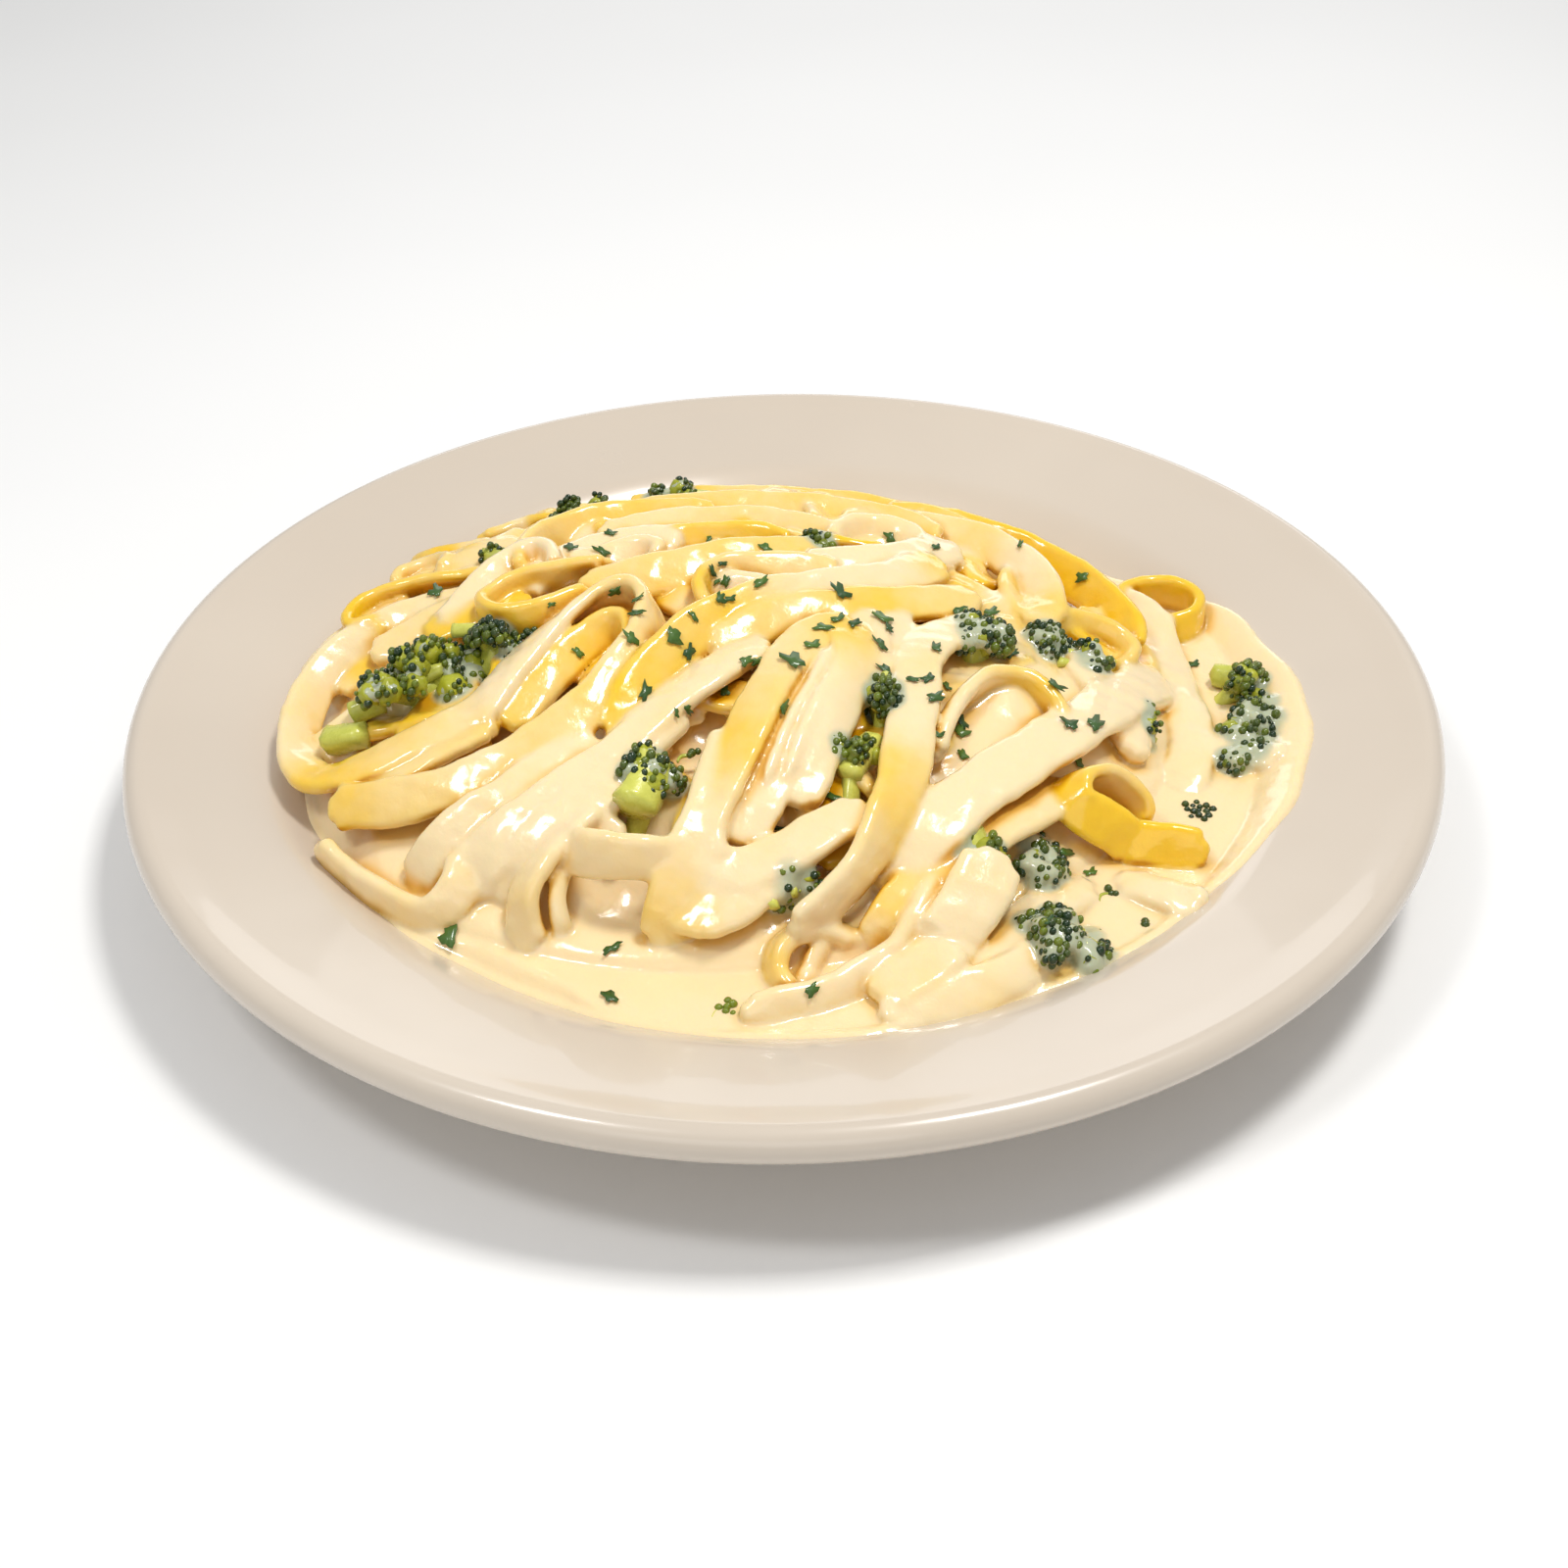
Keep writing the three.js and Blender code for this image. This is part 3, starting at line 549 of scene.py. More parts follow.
class Field:
    """Signed distance on a grid, in millimetres, with what each place is made of."""

    def __init__(self, low, high, pitch):
        self.pitch = pitch
        self.low = np.array(low, dtype=np.float32)
        self.shape = tuple(int(math.ceil((h - l) / pitch)) + 1 for l, h in zip(low, high))
        self.distance = np.full(self.shape, 9.0, dtype=np.float32)
        self.sauce = np.ones(self.shape, dtype=np.float32)
        self.pool = np.ones(self.shape, dtype=np.float32)
        self.creamy = np.zeros(self.shape, dtype=np.float32)
        self.axes = [self.low[k] + pitch * np.arange(self.shape[k], dtype=np.float32) for k in range(3)]

    def window(self, low, high):
        """Index ranges that cover a box, or None if it misses the grid."""
        a = np.maximum(0, np.floor((np.asarray(low) - self.low) / self.pitch).astype(int))
        b = np.minimum(self.shape, np.ceil((np.asarray(high) - self.low) / self.pitch).astype(int) + 1)
        if np.any(b <= a):
            return None
        return tuple(slice(i, j) for i, j in zip(a, b))

    def merge(self, where, distance, sauce, blend, pool=0.0, creamy=0.0):
        """Joins a solid to the field with a fillet of about blend millimetres."""
        old = self.distance[where]
        share = np.clip(0.5 + (old - distance) / 1.6, 0, 1)
        self.sauce[where] += (sauce - self.sauce[where]) * share
        self.pool[where] += (pool - self.pool[where]) * share
        self.creamy[where] += (creamy - self.creamy[where]) * share
        fillet = np.maximum(blend - np.abs(old - distance), 0) / blend
        self.distance[where] = np.minimum(old, distance) - fillet * fillet * blend / 4

    def add_ribbon(self, ribbon, blend=0.9, reach=3.0):
        centre, across, face, half, cover = ribbon
        thickness = 2.3 + 0.4 * float(cover.mean())
        crown = 0.3 + 0.35 * float(cover.mean())
        margin = half.max() + reach
        where = self.window(centre.min(0) - margin, centre.max(0) + margin)
        if where is None:
            return
        offset = [w.start for w in where]
        shape = tuple(w.stop - w.start for w in where)
        near = np.full(shape, 9.0, dtype=np.float32)
        cover_grid = np.full(shape, cover.mean(), dtype=np.float32)
        round_edge = thickness * 0.46
        for i in range(len(centre) - 1):
            p, q = centre[i], centre[i + 1]
            box = self.window(np.minimum(p, q) - margin, np.maximum(p, q) + margin)
            if box is None:
                continue
            local = tuple(slice(b.start - o, b.stop - o) for b, o in zip(box, offset))
            local = tuple(slice(max(0, l.start), min(l.stop, n)) for l, n in zip(local, shape))
            X = self.axes[0][local[0].start + offset[0] : local[0].stop + offset[0]][:, None, None]
            Y = self.axes[1][local[1].start + offset[1] : local[1].stop + offset[1]][None, :, None]
            Z = self.axes[2][local[2].start + offset[2] : local[2].stop + offset[2]][None, None, :]
            d = q - p
            length = float(np.linalg.norm(d))
            d = d / length
            s = (X - p[0]) * d[0] + (Y - p[1]) * d[1] + (Z - p[2]) * d[2]
            t = np.clip(s, 0, length)
            u = t / length
            ax = X - p[0] - t * d[0]
            ay = Y - p[1] - t * d[1]
            az = Z - p[2] - t * d[2]
            wide = across[i] * 0.5 + across[i + 1] * 0.5
            turn = across[i + 1] - across[i]
            facing = face[i] * 0.5 + face[i + 1] * 0.5
            lean = face[i + 1] - face[i]
            mid = u - 0.5
            a, b = (
                ax * (v[0] + mid * change[0]) + ay * (v[1] + mid * change[1]) + az * (v[2] + mid * change[2])
                for v, change in ((wide, turn), (facing, lean))
            )
            e = s - t
            qa = np.abs(a) - (half[i] + (half[i + 1] - half[i]) * u - round_edge)
            swell = crown * np.clip(1 - (a / (0.5 * half[i] + 0.5 * half[i + 1])) ** 2, 0, 1)
            qb = np.abs(b) - (thickness / 2 - round_edge + swell)
            dist = (
                np.sqrt(np.maximum(qa, 0) ** 2 + np.maximum(qb, 0) ** 2 + e * e)
                + np.minimum(np.maximum(qa, qb), 0)
                - round_edge
            ).astype(np.float32)
            target = near[local]
            closer = dist < target
            np.copyto(target, dist, where=closer)
            sauced = (cover[i] + (cover[i + 1] - cover[i]) * u).astype(np.float32)
            np.copyto(cover_grid[local], sauced, where=closer)
        self.merge(where, near, cover_grid, blend, creamy=float(cover.mean() > CREAMY))

    def unevenness(self):
        """Gentle swellings in the coat of sauce."""
        X, Y, Z = self.axes[0][:, None, None], self.axes[1][None, :, None], self.axes[2][None, None, :]
        swell = np.zeros(self.shape, dtype=np.float32)
        for length, size, phase in ((17, 0.16, 0.3), (11, 0.14, 1.7), (7, 0.09, 2.9)):
            k = np.float32(6.2832 / length)
            first = np.sin(k * (X + 0.6 * Y) + phase)
            second = np.sin(k * (Y - 0.5 * X + 0.4 * Z) + 2 * phase)
            swell += size * (first * second * np.cos(k * (0.7 * Z + 0.3 * X) + phase))
        self.distance += swell * (1 - self.pool * 0.7)

    def soften(self):
        """Rounds the shapes off where the sauce lies thick."""
        soft = self.distance
        for axis in range(3):
            middle, before, after = [slice(None)] * 3, [slice(None)] * 3, [slice(None)] * 3
            middle[axis], before[axis], after[axis] = slice(1, -1), slice(0, -2), slice(2, None)
            spread = soft.copy()
            sides = soft[tuple(before)] + soft[tuple(after)]
            spread[tuple(middle)] = 0.5 * soft[tuple(middle)] + 0.25 * sides
            soft = spread
        self.distance += (soft - self.distance) * np.clip(0.1 + 0.7 * self.sauce, 0, 1)

    def sample(self, grid, points):
        """Trilinear values of a grid at points."""
        g = (points - self.low) / self.pitch
        i = np.clip(np.floor(g).astype(int), 0, np.array(self.shape) - 2)
        f = g - i
        total = 0.0
        for dx, dy, dz in np.ndindex(2, 2, 2):
            w = (f[:, 0] if dx else 1 - f[:, 0]) * (f[:, 1] if dy else 1 - f[:, 1])
            w = w * (f[:, 2] if dz else 1 - f[:, 2])
            total = total + w * grid[i[:, 0] + dx, i[:, 1] + dy, i[:, 2] + dz]
        return total

    def slope(self, points):
        """Direction in which the distance grows fastest."""
        e = self.pitch * 0.8
        ahead = [self.sample(self.distance, points + e * axis) for axis in np.eye(3)]
        behind = [self.sample(self.distance, points - e * axis) for axis in np.eye(3)]
        g = np.stack(ahead, -1) - np.stack(behind, -1)
        return g / np.maximum(np.linalg.norm(g, axis=1, keepdims=True), 1e-6)

    def skin(self):
        """Surface-nets mesh of the zero level: points and quads."""
        D = self.distance
        inside = D < 0
        corner = inside[:-1, :-1, :-1].astype(np.int8)
        total = np.zeros_like(corner)
        nx, ny, nz = corner.shape
        for dx, dy, dz in np.ndindex(2, 2, 2):
            total += inside[dx : dx + nx, dy : dy + ny, dz : dz + nz]
        cells = np.argwhere((total > 0) & (total < 8))
        number = np.full(corner.shape, -1, dtype=np.int64)
        number[tuple(cells.T)] = np.arange(len(cells))
        position = np.zeros((len(cells), 3))
        crossings = np.zeros(len(cells))
        offsets = [np.array(o) for o in np.ndindex(2, 2, 2)]
        for a in offsets:
            for axis in range(3):
                if a[axis]:
                    continue
                b = a.copy()
                b[axis] = 1
                va = D[tuple((cells + a).T)]
                vb = D[tuple((cells + b).T)]
                crossed = (va < 0) != (vb < 0)
                t = np.where(crossed, va / np.where(crossed, va - vb, 1), 0)
                place = cells + a + t[:, None] * (b - a)
                position += np.where(crossed[:, None], place, 0)
                crossings += crossed
        points = self.low + self.pitch * position / crossings[:, None]
        quads = []
        for axis in range(3):
            u, v = (axis + 1) % 3, (axis + 2) % 3
            lower = [slice(1, -1)] * 3
            lower[axis] = slice(0, -1)
            upper = list(lower)
            upper[axis] = slice(1, None)
            first = inside[tuple(lower)]
            change = first != inside[tuple(upper)]
            at = np.argwhere(change)
            at[:, u] += 1
            at[:, v] += 1
            flip = ~first[change]
            step_u, step_v = np.zeros(3, int), np.zeros(3, int)
            step_u[u], step_v[v] = 1, 1
            ring = [number[tuple((at - k).T)] for k in (step_u + step_v, step_v, 0 * step_u, step_u)]
            quad = np.stack(ring, 1)
            quad[flip] = quad[flip][:, ::-1]
            quads.append(quad[(quad >= 0).all(1)])
        return points, np.vstack(quads)


def outline(x, y):
    """Radius of the sauce's edge in the direction of a place."""
    a = np.arctan2(y, x)

    def lobe(centre, spread):
        away = np.angle(np.exp(1j * (a - math.radians(centre))))
        return np.exp(-((away / math.radians(spread)) ** 2))

    wander = 0.6 * np.sin(7 * a) + 0.5 * np.sin(13 * a + 1) + 0.3 * np.sin(29 * a)
    wide = 99.5 + wander + 9.5 * lobe(-8, 22) + 3.5 * lobe(18, 8)
    return wide - 3 * lobe(232, 22) - 8 * lobe(75, 42) - 5 * lobe(140, 25)


def ripple(x, y, size, seed):
    """Gentle waves about size millimetres long, between -1 and 1."""
    total = 0.0
    for k in range(4):
        a = seed + 1.9 * k
        length = size * (0.8 + 0.23 * k)
        total = total + np.sin((x * math.cos(a) + y * math.sin(a)) * 6.28 / length + 2.1 * k + seed)
    return total / 4


def sauce_height(x, y):
    """Top of the sauce: among the noodles, in the open pool and where it runs over the rim."""
    share = 1.0 - mound_share(x, y)
    depth = 3.4
    for px, py, radius, rise in SAUCE_PATCHES:
        depth = depth - rise * np.exp(-((x - px) ** 2 + (y - py) ** 2) / (radius * radius))
    depth = depth + 0.7 * ripple(x, y, 17, 1.0)
    z = dome(x, y) - depth * smoothstep(0.0, 0.22, share) + 0.12 * ripple(x, y, 23, 4.0)
    r = np.hypot(x, y)
    inside = outline(x, y) - r
    china = plate_top(r)
    z = np.maximum(z, china + 1.3)
    edge = china + 1.7 * (1 - np.exp(-np.maximum(inside, 0) / 1.3)) + 1.6 * np.maximum(inside - 1.5, 0)
    z = np.minimum(z, edge)
    return np.where(inside < 0, china - 0.5 + 0.5 * np.maximum(inside, -3), z)


# ------------------------------------------------------------------ broccoli

# Node number, x, y, height above the mound, crown width, depth and height, stalk, turn, lean,
# film of sauce, paleness
FLORETS = [
    (1, -70.5, -13, 3.6, 16, 29, 13, 7, 138, 12, 0.5, 0.75),
    (2, -57.5, -7, 4.4, 10, 10, 9, 3, 150, 25, 0.4, 0.2),
    (3, -44, 52.5, 2.6, 15, 11, 10, 3, 40, 40, 0.3, 0.2),
    (4, -61.5, 31, 3.5, 8, 7, 8, 5, 10, 20, 0.6, 1.0),
    (5, -23, 58.5, 3.0, 16, 10, 9, 5, -30, 50, 0.6, 0.8),
    (6, -25, -50.5, 5.0, 13, 11, 12, 6, 150, 30, 0.65, 0.85),
    (7, 19.5, -29, 3.2, 10, 14, 11, 6, 165, 40, 0.1, 0.3),
    (8, 12.5, -43.5, 3.0, 12, 10, 10, 5, 175, 60, 0.4, 1.0),
    (9, 2, -69.5, 3.2, 12, 8, 6, 5, 20, 80, 0.8, 1.0),
    (10, 8, 24.5, 3.2, 8, 7, 7, 3, 0, 20, 0.3, 0.7),
    (11, 39, -5, 3.2, 15, 14, 9, 4, 160, 25, 0.85, 0.15),
    (12, 54, -0.5, 2.8, 10, 8, 7, 3, 100, 30, 0.8, 0.2),
    (13, 62, -3, 2.4, 13, 9, 7, 4, -60, 70, 0.8, 0.9),
    (14, 72, -17, 2.2, 7, 9, 7, 3, 0, 30, 0.6, 0.8),
    (15, 96.5, 2, 4.6, 12, 10, 9, 4, 100, 50, 0.4, 0.9),
    (16, 95.5, -15, 3.0, 24, 13, 6.5, 3, 60, 14, 0.85, 0.15),
    (17, 49.5, -77, 2.6, 17, 15, 8.5, 5, 120, 30, 0.9, 0.35),
    (18, 46.5, -57, 1.6, 14, 9, 5.5, 3, 90, 20, 0.95, 0.1),
    (19, 34.5, -62.5, 5.2, 12, 8, 8, 5, 170, 40, 0.2, 0.95),
]

# Loose crumbs of broccoli: x, y, height above the mound, how many buds, film of sauce, paleness
CRUMBS = [
    (-50, -6, 3.5, 5, 0.2, 0.0), (51.5, -41, 0.6, 4, 0.6, 0.1), (80.5, -37, 0.5, 14, 0.8, 0.0),
    (65, -70, 0.3, 2, 0.5, 0.1), (-6, -58, 3.4, 3, 0.4, 1.0), (-11, -57.5, 3.2, 2, 0.6, 1.0),
    (-10.5, -91, 0.3, 6, 0.3, 1.0), (-82, 33, 2.0, 5, 0.3, 0.1), (24, 0, 4.0, 3, 0.9, 0.2),
    (5, -70, 3.2, 4, 0.4, 0.1), (42, -19, 1.5, 2, 0.9, 0.2), (-17, -44, 3.2, 3, 0.6, 0.3),
    (60, -62, 1.0, 3, 0.8, 0.1), (-33, 50, 3.0, 4, 0.5, 0.3), (-41, 41, 3.0, 4, 0.5, 0.2),
]

# Pieces of stem that show on their own: from x, y to x, y, height above the mound, radius
STEMS = [
    (-89.5, -22.5, -82, -24.5, 2.2, 3.1), (-85, -18, -79, -17.5, 3.0, 2.5), (12, -48, 17, -39, 2.0, 2.8),
    (-27.5, -57.5, -24, -48, 5.2, 4.2), (99, 5, 91, 7, 2.4, 2.8), (33, -57, 37, -63, 3.6, 2.8),
    (-58, 27, -63, 33, 2.2, 3.2), (-24, 60, -14, 57, 1.8, 3.0), (-2.6, -75, -1.4, -69.5, 3.4, 1.5),
    (1, -73, 1.9, -67, 3.4, 1.2), (3.4, -69.5, 4.4, -65.5, 3.4, 0.9), (58, -3, 66, -1, 1.2, 1.6),
    (56, -6, 62, -6, 1.2, 1.2), (-74, -16, -66, -13, 3.6, 1.6), (-66, -2, -60, -4, 4.4, 1.5),
    (20, -24, 18, -33, 4.0, 1.4),
]


def floret_axes(turn, lean):
    """Rotation of a floret's own axes: it leans from upright, then turns about the vertical."""
    return np.array(Matrix.Rotation(math.radians(turn), 3, "Z") @ Matrix.Rotation(math.radians(lean), 3, "X"))


def floret_centre(x, y, lift):
    return np.array([x, y, float(dome(np.float64(x), np.float64(y))) + lift - 2.0])


def ball(rings=5, spokes=8):
    """A small round bud as points and triangles."""
    points = [(0, 0, 1)]
    for k in range(1, rings):
        a = math.pi * k / rings
        for s in range(spokes):
            b = 2 * math.pi * s / spokes
            points.append((math.sin(a) * math.cos(b), math.sin(a) * math.sin(b), math.cos(a)))
    points.append((0, 0, -1))
    faces = []
    for s in range(spokes):
        n = (s + 1) % spokes
        faces.append((0, 1 + s, 1 + n))
        for k in range(rings - 2):
            a, b = 1 + k * spokes, 1 + (k + 1) * spokes
            faces += [(a + s, b + s, b + n), (a + s, b + n, a + n)]
        last = 1 + (rings - 2) * spokes
        faces.append((last + s, len(points) - 1, last + n))
    return np.array(points), np.array(faces)


class Batch:
    """Triangles of one kind gathered into one piece."""

    def __init__(self):
        self.points, self.faces, self.shade, self.count = [], [], [], 0

    def add(self, points, faces, shade):
        self.points.append(points)
        self.faces.append(faces + self.count)
        self.shade.append(np.broadcast_to(shade, len(points)))
        self.count += len(points)

    def piece(self, name, material, slot="broccoli"):
        made = add_piece(name, np.vstack(self.points), np.vstack(self.faces), material,
                         attributes={"shade": np.concatenate(self.shade)})
        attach(made, "root")
        return made


def tube(start, end, thick, thin, bow, rng, spokes=9, rings=7):
    """A bent, ribbed stalk from start to end."""
    start, end = np.asarray(start, float), np.asarray(end, float)
    along = end - start
    length = np.linalg.norm(along)
    along /= length
    side = np.cross(along, [0.3, 0.2, 1.0])
    side /= np.linalg.norm(side)
    up = np.cross(side, along)
    points = []
    phase = rng.uniform(0, 6)
    for k in range(rings):
        t = k / (rings - 1)
        centre = start + along * length * t + side * bow * math.sin(math.pi * t)
        radius = thick + (thin - thick) * t
        for s in range(spokes):
            a = 2 * math.pi * s / spokes
            r = radius * (1 + 0.10 * math.sin(3 * a + phase) + 0.05 * math.sin(5 * a + 9 * t))
            points.append(centre + r * (math.cos(a) * side + math.sin(a) * up))
    points += [start - along * thick * 0.25, end + along * thin * 0.4]
    faces = []
    for k in range(rings - 1):
        for s in range(spokes):
            n = (s + 1) % spokes
            a, b = k * spokes, (k + 1) * spokes
            faces += [(a + s, a + n, b + n), (a + s, b + n, b + s)]
    last = (rings - 1) * spokes
    for s in range(spokes):
        n = (s + 1) % spokes
        faces += [(len(points) - 2, n, s), (len(points) - 1, last + s, last + n)]
    return np.array(points), np.array(faces)


def floret_lumps(spec):
    """Centres and radii of the rounded heads that make up a crown, in the floret's own axes."""
    width, depth, height = spec[4:7]
    rng = random.Random(spec[0])
    half = np.array([width, depth, height]) / 2
    radius = 1.5 + 0.09 * min(width, depth, height)
    count = int(round(width * depth / (radius * radius * 3.0)))
    lumps = []
    for k in range(count):
        z = 1 - 1.1 * (k + 0.5) / count
        a = 2.4 * k + rng.uniform(-0.5, 0.5)
        flat = math.sqrt(max(0, 1 - z * z))
        direction = np.array([flat * math.cos(a), flat * math.sin(a), z])
        place = direction * (half - radius * 0.6) * rng.uniform(0.8, 1.12)
        lumps.append((place, radius * rng.uniform(0.75, 1.25)))
    return lumps


def grow_floret(spec, buds, crowns, stalks, rng):
    _, x, y, lift, width, depth, height, stalk, turn, lean, _, pale = spec
    axes = floret_axes(turn, lean)
    centre = floret_centre(x, y, lift)
    half = np.array([width, depth, height]) / 2
    lumps = floret_lumps(spec)
    foot = np.array([0, 0, -half[2] - stalk])
    ball_points, ball_faces = ball()
    core_points, core_faces = ball(8, 14)
    for place, radius in lumps:
        open_head = rng.random() < 0.10 + 0.5 * pale
        outward = place / max(np.linalg.norm(place), 1e-6)
        knobs = 0.0
        for k in range(3):
            wave = np.array([rng.uniform(-7, 7), rng.uniform(-7, 7), rng.uniform(-7, 7)])
            knobs = knobs + 0.07 * np.sin(core_points @ wave + k)[:, None]
        core = core_points * radius * ((0.92 if open_head else 0.84) + knobs)
        shade = (0.6 if open_head else 0.1) + 0.35 * pale * rng.random()
        crowns.add((core + place) @ axes.T + centre, core_faces, shade)
        neighbours = [lump for lump in lumps if lump[0] is not place]
        total = int(12.0 * radius * radius / 1.9)
        for k in range(total):
            z = 1 - 2 * (k + 0.5) / total
            a = GOLDEN_ANGLE * k + 1.3 * place[0]
            flat = math.sqrt(1 - z * z)
            toward = np.array([flat * math.cos(a), flat * math.sin(a), z])
            spot = place + radius * toward
            if toward @ outward < (0.35 if open_head else -0.15):
                continue
            if any(np.linalg.norm(spot - middle) < reach * 0.98 for middle, reach in neighbours):
                continue
            if rng.random() < (0.5 if open_head else 0.2):
                continue
            size = rng.choice((0.45, 0.6, 0.7, 0.8, 0.95)) * rng.uniform(0.9, 1.1)
            bud = ball_points * size * np.array([1, 1, 1.15]) + spot + toward * rng.uniform(-0.2, 0.3)
            yellowed = 0.5 if rng.random() < 0.2 + 0.35 * pale else 0.0
            shade = float(np.clip(yellowed + rng.uniform(-0.1, 0.35), 0, 1))
            buds.add(bud @ axes.T + centre, ball_faces, shade)
        start = foot * 0.35 + place * 0.1
        points, faces = tube(start, place * 0.9, radius * 0.38, radius * 0.55, rng.uniform(-1, 1), rng)
        stalks.add(points @ axes.T + centre, faces, 0.2 + 0.6 * pale)
    thick = min(width, depth) * 0.2
    points, faces = tube(foot, (0, 0, 0), thick * 0.9, thick * 1.1, 0.6, rng, spokes=14)
    stalks.add(points @ axes.T + centre, faces, 0.4 + 0.4 * pale)


# ------------------------------------------------------------------ building the food

PITCH = 0.66
FOOD_LOW = (-112, -108, 5)
FOOD_HIGH = (116, 104, 52)
FILLERS = 90
FILLER_STEP = 5.5
FILLER_STARTS = (84, 78)  # half sizes of the oval in which the short bends start
FILLER_LIMITS = (88, 82)  # half sizes of the oval that they stay in


def fill_field():
    field = Field(FOOD_LOW, FOOD_HIGH, PITCH)
    X, Y = field.axes[0][:, None], field.axes[1][None, :]
    height = sauce_height(X.astype(np.float64), Y.astype(np.float64))
    gx, gy = np.gradient(height, PITCH)
    steep = np.sqrt(1 + np.minimum(gx * gx + gy * gy, 4.0))
    above = field.axes[2][None, None, :] - height[:, :, None]
    field.distance[...] = np.clip(above / steep[:, :, None], -9, 9)
    rng = random.Random(5)
    for ribbon in filler_ribbons(rng):
        field.add_ribbon(ribbon, blend=1.2)
    for width, sauce, route in RIBBONS:
        field.add_ribbon(lay_ribbon(width, sauce, route), blend=0.7 + 0.5 * sauce)
    field.soften()
    field.unevenness()
    return field


def filler_ribbons(rng):
    """Short bends of ribbon low in the mound, seen only between the others and behind."""
    made = []
    middle_x, middle_y = HEAP_CENTRE
    for k in range(FILLERS):
        a = GOLDEN_ANGLE * k
        reach = math.sqrt((k + 0.5) / FILLERS)
        x = middle_x + FILLER_STARTS[0] * reach * math.cos(a)
        y = middle_y + FILLER_STARTS[1] * reach * math.sin(a)
        low = -1.0 if y < 40 else 1.8
        if y < -38 and abs(x + 10) > 25:
            continue
        heading = rng.uniform(0, 6.28)
        curl = rng.choice((-1, 1)) * rng.uniform(0.10, 0.42)
        roll = rng.uniform(-35, 35)
        route = []
        for _ in range(6):
            route.append((x, y, low + rng.uniform(-0.4, 0.6), roll, rng.uniform(0.1, 0.8)))
            x += FILLER_STEP * math.cos(heading)
            y += FILLER_STEP * math.sin(heading)
            heading += curl
            roll += rng.uniform(-15, 15)
            if ((x - middle_x) / FILLER_LIMITS[0]) ** 2 + ((y - middle_y) / FILLER_LIMITS[1]) ** 2 > 1:
                break
        if len(route) > 2:
            made.append(lay_ribbon(rng.uniform(7.5, 9.5), 0.5, route))
    return made


def floret_distance(points, spec):
    """Distance to the crown's lumps, joined smoothly."""
    sharpness = 2.2
    local = (points - floret_centre(*spec[1:4])) @ floret_axes(*spec[8:10])
    total = np.zeros(points.shape[:-1])
    for place, radius in floret_lumps(spec):
        total += np.exp(-sharpness * (np.linalg.norm(local - place, axis=-1) - radius))
    return -np.log(np.maximum(total, 1e-9)) / sharpness


def film_over_florets(field):
    """Sauce clings between the buds and climbs the crowns' sides."""
    for spec in FLORETS:
        centre = floret_centre(*spec[1:4])
        reach = max(spec[4:7]) / 2 + 4
        where = field.window(centre - reach, centre + reach)
        X, Y, Z = (axis[w] for axis, w in zip(field.axes, where))
        grid = np.stack(np.meshgrid(X, Y, Z, indexing="ij"), -1).astype(np.float64)
        patchy = 0.45 * ripple(grid[..., 0], grid[..., 1] + grid[..., 2], 6.0, float(spec[0]))
        distance = (floret_distance(grid, spec) + 1.3 - 1.5 * spec[10] + patchy).astype(np.float32)
        field.merge(where, distance, 1.0, 2.0, pool=1.0)


def make_food():
    field = fill_field()
    film_over_florets(field)
    points, quads = field.skin()
    normals = field.slope(points)
    points = points - normals * np.clip(field.sample(field.distance, points), -0.4, 0.4)[:, None]
    normals = field.slope(points)
    # Painted shade: how closed in each place is, sampled along its normal, later darkens the pasta and sauce
    # colours in the creases and gaps.
    crevice_shade = np.zeros(len(points))
    for reach, weight in ((1.0, 0.25), (2.0, 0.35), (3.2, 0.4)):
        crevice_shade += weight * np.clip(1 - field.sample(field.distance, points + normals * reach) / reach, 0, 1.5)
    sauce = field.sample(field.sauce, points)
    pool = field.sample(field.pool, points)
    green = np.zeros(len(points))
    for spec in FLORETS:
        near = np.abs(points[:, :2] - np.array(spec[1:3])).max(1) < 20
        green[near] = np.maximum(green[near], smoothstep(2.6, -0.6, floret_distance(points[near], spec)))
    shown = points[:, 2] > plate_top(np.hypot(points[:, 0], points[:, 1])) - 0.7
    quads = quads[shown[quads].any(1)]
    is_pool = pool[quads].mean(1) > 0.5
    is_creamy = field.sample(field.creamy, points)[quads].mean(1) > 0.5
    # Each pair: the sauce's own colour, then the painted shade it takes in the creases.
    coat = ((0.90, 0.72, 0.43), (0.80, 0.49, 0.12))
    open_sauce = ((0.92, 0.72, 0.41), (0.82, 0.52, 0.14))
    for name, mask, slot, cream in (
        ("lightly_sauced_fettuccine", ~is_pool & ~is_creamy, "pasta", coat),
        ("creamy_fettuccine", ~is_pool & is_creamy, "pasta", coat),
        ("cream_sauce", is_pool, "sauce", open_sauce),
    ):
        used, index = np.unique(quads[mask], return_inverse=True)
        attributes = {"sauce": sauce[used], "crevice_shade": crevice_shade[used], "green": green[used]}
        finish = pasta_finish(name + "_finish", *cream)
        piece = add_piece(name, points[used], index.reshape(-1, 4), finish, normals[used], attributes)
        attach(piece, "root")
    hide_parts("fettuccine")
    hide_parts("fettuccine")
    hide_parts("alfredo_sauce")
    return points, quads


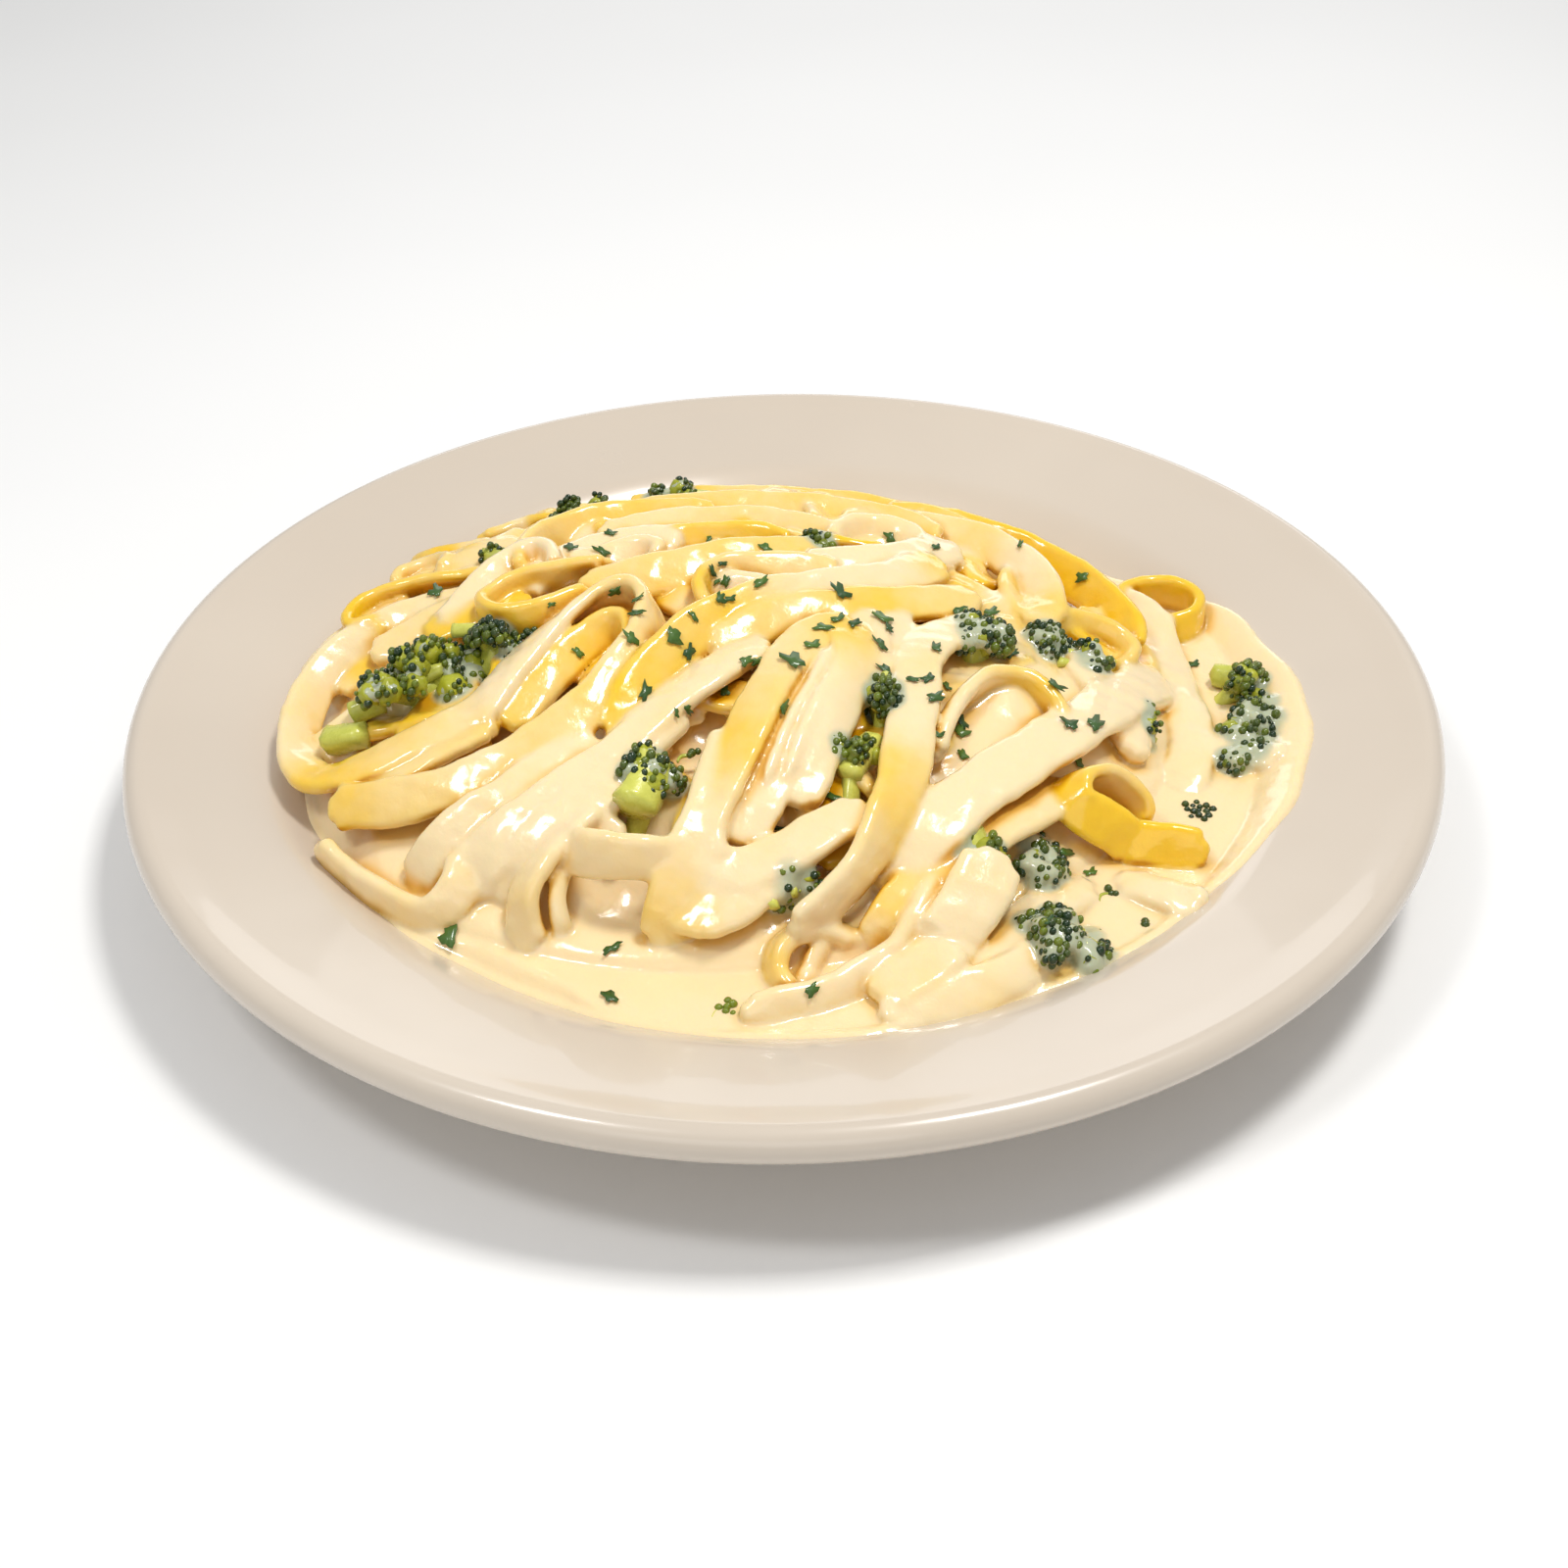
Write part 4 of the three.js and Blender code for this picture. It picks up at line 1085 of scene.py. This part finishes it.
def grow_crumb(spec, buds, stalks, rng):
    x, y, lift, count, film, pale = spec
    centre = floret_centre(x, y, lift + 1.6 - 0.4 * film)
    ball_points, ball_faces = ball()
    for k in range(count):
        a = 2.4 * k + x
        outward = np.array([math.cos(a), math.sin(a), 0.0])
        spot = centre + outward * 0.85 * math.sqrt(k) + [0, 0, rng.uniform(-0.3, 0.4)]
        bud = ball_points * rng.uniform(0.65, 0.95) + spot
        buds.add(bud, ball_faces, min(1.0, 0.9 * pale + rng.uniform(0, 0.2)))
    tip = centre + [-2.6, -2.2, -0.1]
    points, faces = tube(centre + [0, 0, -0.4], tip, 0.45, 0.35, 0.9, rng, spokes=7)
    stalks.add(points, faces, 0.3 + 0.5 * pale)


def make_florets():
    rng = random.Random(3)
    buds, crowns, stalks = Batch(), Batch(), Batch()
    for spec in FLORETS:
        grow_floret(spec, buds, crowns, stalks, rng)
    for spec in CRUMBS:
        grow_crumb(spec, buds, stalks, rng)
    for x0, y0, x1, y1, lift, radius in STEMS:
        start, end = floret_centre(x0, y0, lift + 2), floret_centre(x1, y1, lift + 2)
        points, faces = tube(start, end, radius, radius * 0.85, rng.uniform(-1, 1), rng, spokes=14, rings=9)
        stalks.add(points, faces, rng.uniform(0.6, 1.0))
    bud_green = floret_finish("bud_green", (0.010, 0.032, 0.008), (0.17, 0.22, 0.012), 0.14)
    bud_piece = buds.piece("broccoli_buds", bud_green)
    crown_green = floret_finish("crown_green", (0.07, 0.11, 0.008), (0.46, 0.47, 0.03), 0.18)
    crowns.piece("broccoli_crowns", crown_green)
    stalk_green = floret_finish("stalk_green", (0.28, 0.32, 0.02), (0.66, 0.66, 0.12), 0.2)
    stalks.piece("broccoli_stalks", stalk_green)
    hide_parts(*["broccoli_%02d" % spec[0] for spec in FLORETS])


# Chopped parsley, as (x, y, length) on the mound.
PARSLEY = [
    (-28, 4, 3), (-28, -1, 3), (-29, -9, 3.5), (-21, -9, 4), (-18, -14, 4), (-17, -3, 2.5), (-14, 15, 3),
    (-13, 11, 2), (-11, 11, 2.5), (-12, 3, 2.5), (-10, 3, 2.5), (-4, 9, 4), (-3, 26, 3), (-7, -17, 3),
    (-5, -17, 2.5), (2, -17, 5), (6, -12, 4), (8, -6, 4), (11, -3, 3.5), (14, -4, 3.5), (12, 7, 5),
    (20, -1, 5), (21, -4, 3), (19, -10, 4), (20, -18, 5), (-26, -25, 4), (-20, -31, 2), (-18, -30, 3),
    (-11, -25, 3.5), (0, -30, 4), (25, -20, 3), (28, -19, 3.5), (32, -20, 3), (29, -24, 4), (34, -29, 5),
    (34, -32, 4), (29, -34, 2.5), (34, -38, 3), (-40, -11, 3), (-46, 7, 2), (-37, 28, 4), (-44, 32, 4),
    (-72, 23, 4), (-36, 38, 3), (33, 34, 3), (24, 38, 3), (-15, 32, 2), (46, -6, 4), (53, -14, 4),
    (55, -24, 4), (60, -22, 5), (57, -33, 3), (52, 48, 2.5), (66, 42, 3), (-61, -71, 6), (-31, -78, 4),
    (-31, -88, 3.5), (4, -86, 3), (-1, -58, 2.5), (9, -51, 4), (52, -54, 5), (57, -56, 3), (46, -68, 3),
    (-12, 18, 2.5), (36, 6, 4), (43, 8, 4), (88, 14, 3), (30, -9, 3.5), (-33, 9, 2.5), (-58, -2, 2),
]


def make_parsley(points, quads):
    from mathutils.bvhtree import BVHTree

    tree = BVHTree.FromPolygons([tuple(p) for p in points], [tuple(q) for q in quads])
    rng = random.Random(11)
    flakes = Batch()
    down = Vector((0, VIEW_SLANT, -1)).normalized()
    for x, y, length in PARSLEY:
        start = Vector((x, y, float(dome(np.float64(x), np.float64(y))))) - down * 40
        hit, normal, _, _ = tree.ray_cast(start, down)
        if hit is None:
            continue
        if normal.dot(down) > 0:
            normal = -normal
        heading = Vector((math.cos(rng.uniform(0, 6.28)), math.sin(rng.uniform(0, 6.28)), 0))
        side = normal.cross(heading).normalized()
        heading = side.cross(normal)
        count = 13
        slim = rng.uniform(2.2, 4.2)
        bend = rng.uniform(-0.5, 0.5)
        rim = []
        for k in range(count):
            a = 2 * math.pi * k / count
            reach = rng.uniform(0.75, 1.1) * (1.0 if k % 3 else 0.6)
            u = math.cos(a) * length * 0.64 * reach
            v = math.sin(a) * length / slim * reach + bend * u * u / length
            curl = 0.3 + 0.16 * u * u / length + 0.5 * v * v / length + rng.uniform(0, 0.35)
            rim.append((u, v, curl))
        top = [hit + heading * u + side * v + normal * w for u, v, w in rim]
        top.append(hit + normal * 0.42)
        low = [p - normal * 0.22 for p in top]
        flat = np.array([tuple(p) for p in top + low])
        faces = []
        for k in range(count):
            n = (k + 1) % count
            under_k, under_n = count + 1 + k, count + 1 + n
            faces += [(count, k, n), (2 * count + 1, under_n, under_k)]
            faces += [(k, under_k, under_n), (k, under_n, n)]
        flakes.add(flat, np.array(faces), rng.uniform(0, 0.7))
    parsley_green = floret_finish("parsley_green", (0.02, 0.07, 0.012), (0.10, 0.20, 0.02), 0.4)
    flakes.piece("parsley_flakes", parsley_green)


# ------------------------------------------------------------------ stage


def area_light(name, place, aim, size, power, colour=(1, 1, 1)):
    data = bpy.data.lights.new(name, "AREA")
    data.shape = "RECTANGLE"
    data.size, data.size_y = size
    data.energy = power
    data.color = colour
    light = bpy.data.objects.new(name, data)
    light.location = place
    light.rotation_euler = (Vector(aim) - Vector(place)).to_track_quat("-Z", "Y").to_euler()
    bpy.context.scene.collection.objects.link(light)


def set_stage():
    far = 9000
    corners = [(-far, -far, 0), (far, -far, 0), (far, far, 0), (-far, far, 0)]
    floor = add_piece("floor", corners, [(0, 1, 2, 3)], floor_finish())
    area_light("softbox_above_right", (0.28, 0.02, 0.95), (0, 0, 0.03), (0.20, 0.16), 5.6, (1.0, 0.99, 0.97))
    area_light("softbox_above_left", (-0.40, -0.25, 0.90), (0, 0, 0.03), (0.16, 0.20), 2.5)
    area_light("window_behind", (0.1, 1.1, 0.35), (0, 0, 0.03), (0.9, 0.3), 1.3)
    area_light("front_fill", (-0.1, -1.0, 0.6), (0, 0, 0.02), (0.9, 0.5), 1.2)
    world = bpy.data.worlds.new("studio")
    bpy.context.scene.world = world
    world.use_nodes = True
    background = world.node_tree.nodes["Background"]
    background.inputs["Color"].default_value = (1, 1, 1, 1)
    background.inputs["Strength"].default_value = 0.44
    bpy.context.scene.view_settings.view_transform = "Standard"


place_camera()
make_plate(china_finish())
skin_points, skin_quads = make_food()
make_florets()
make_parsley(skin_points, skin_quads)
set_stage()
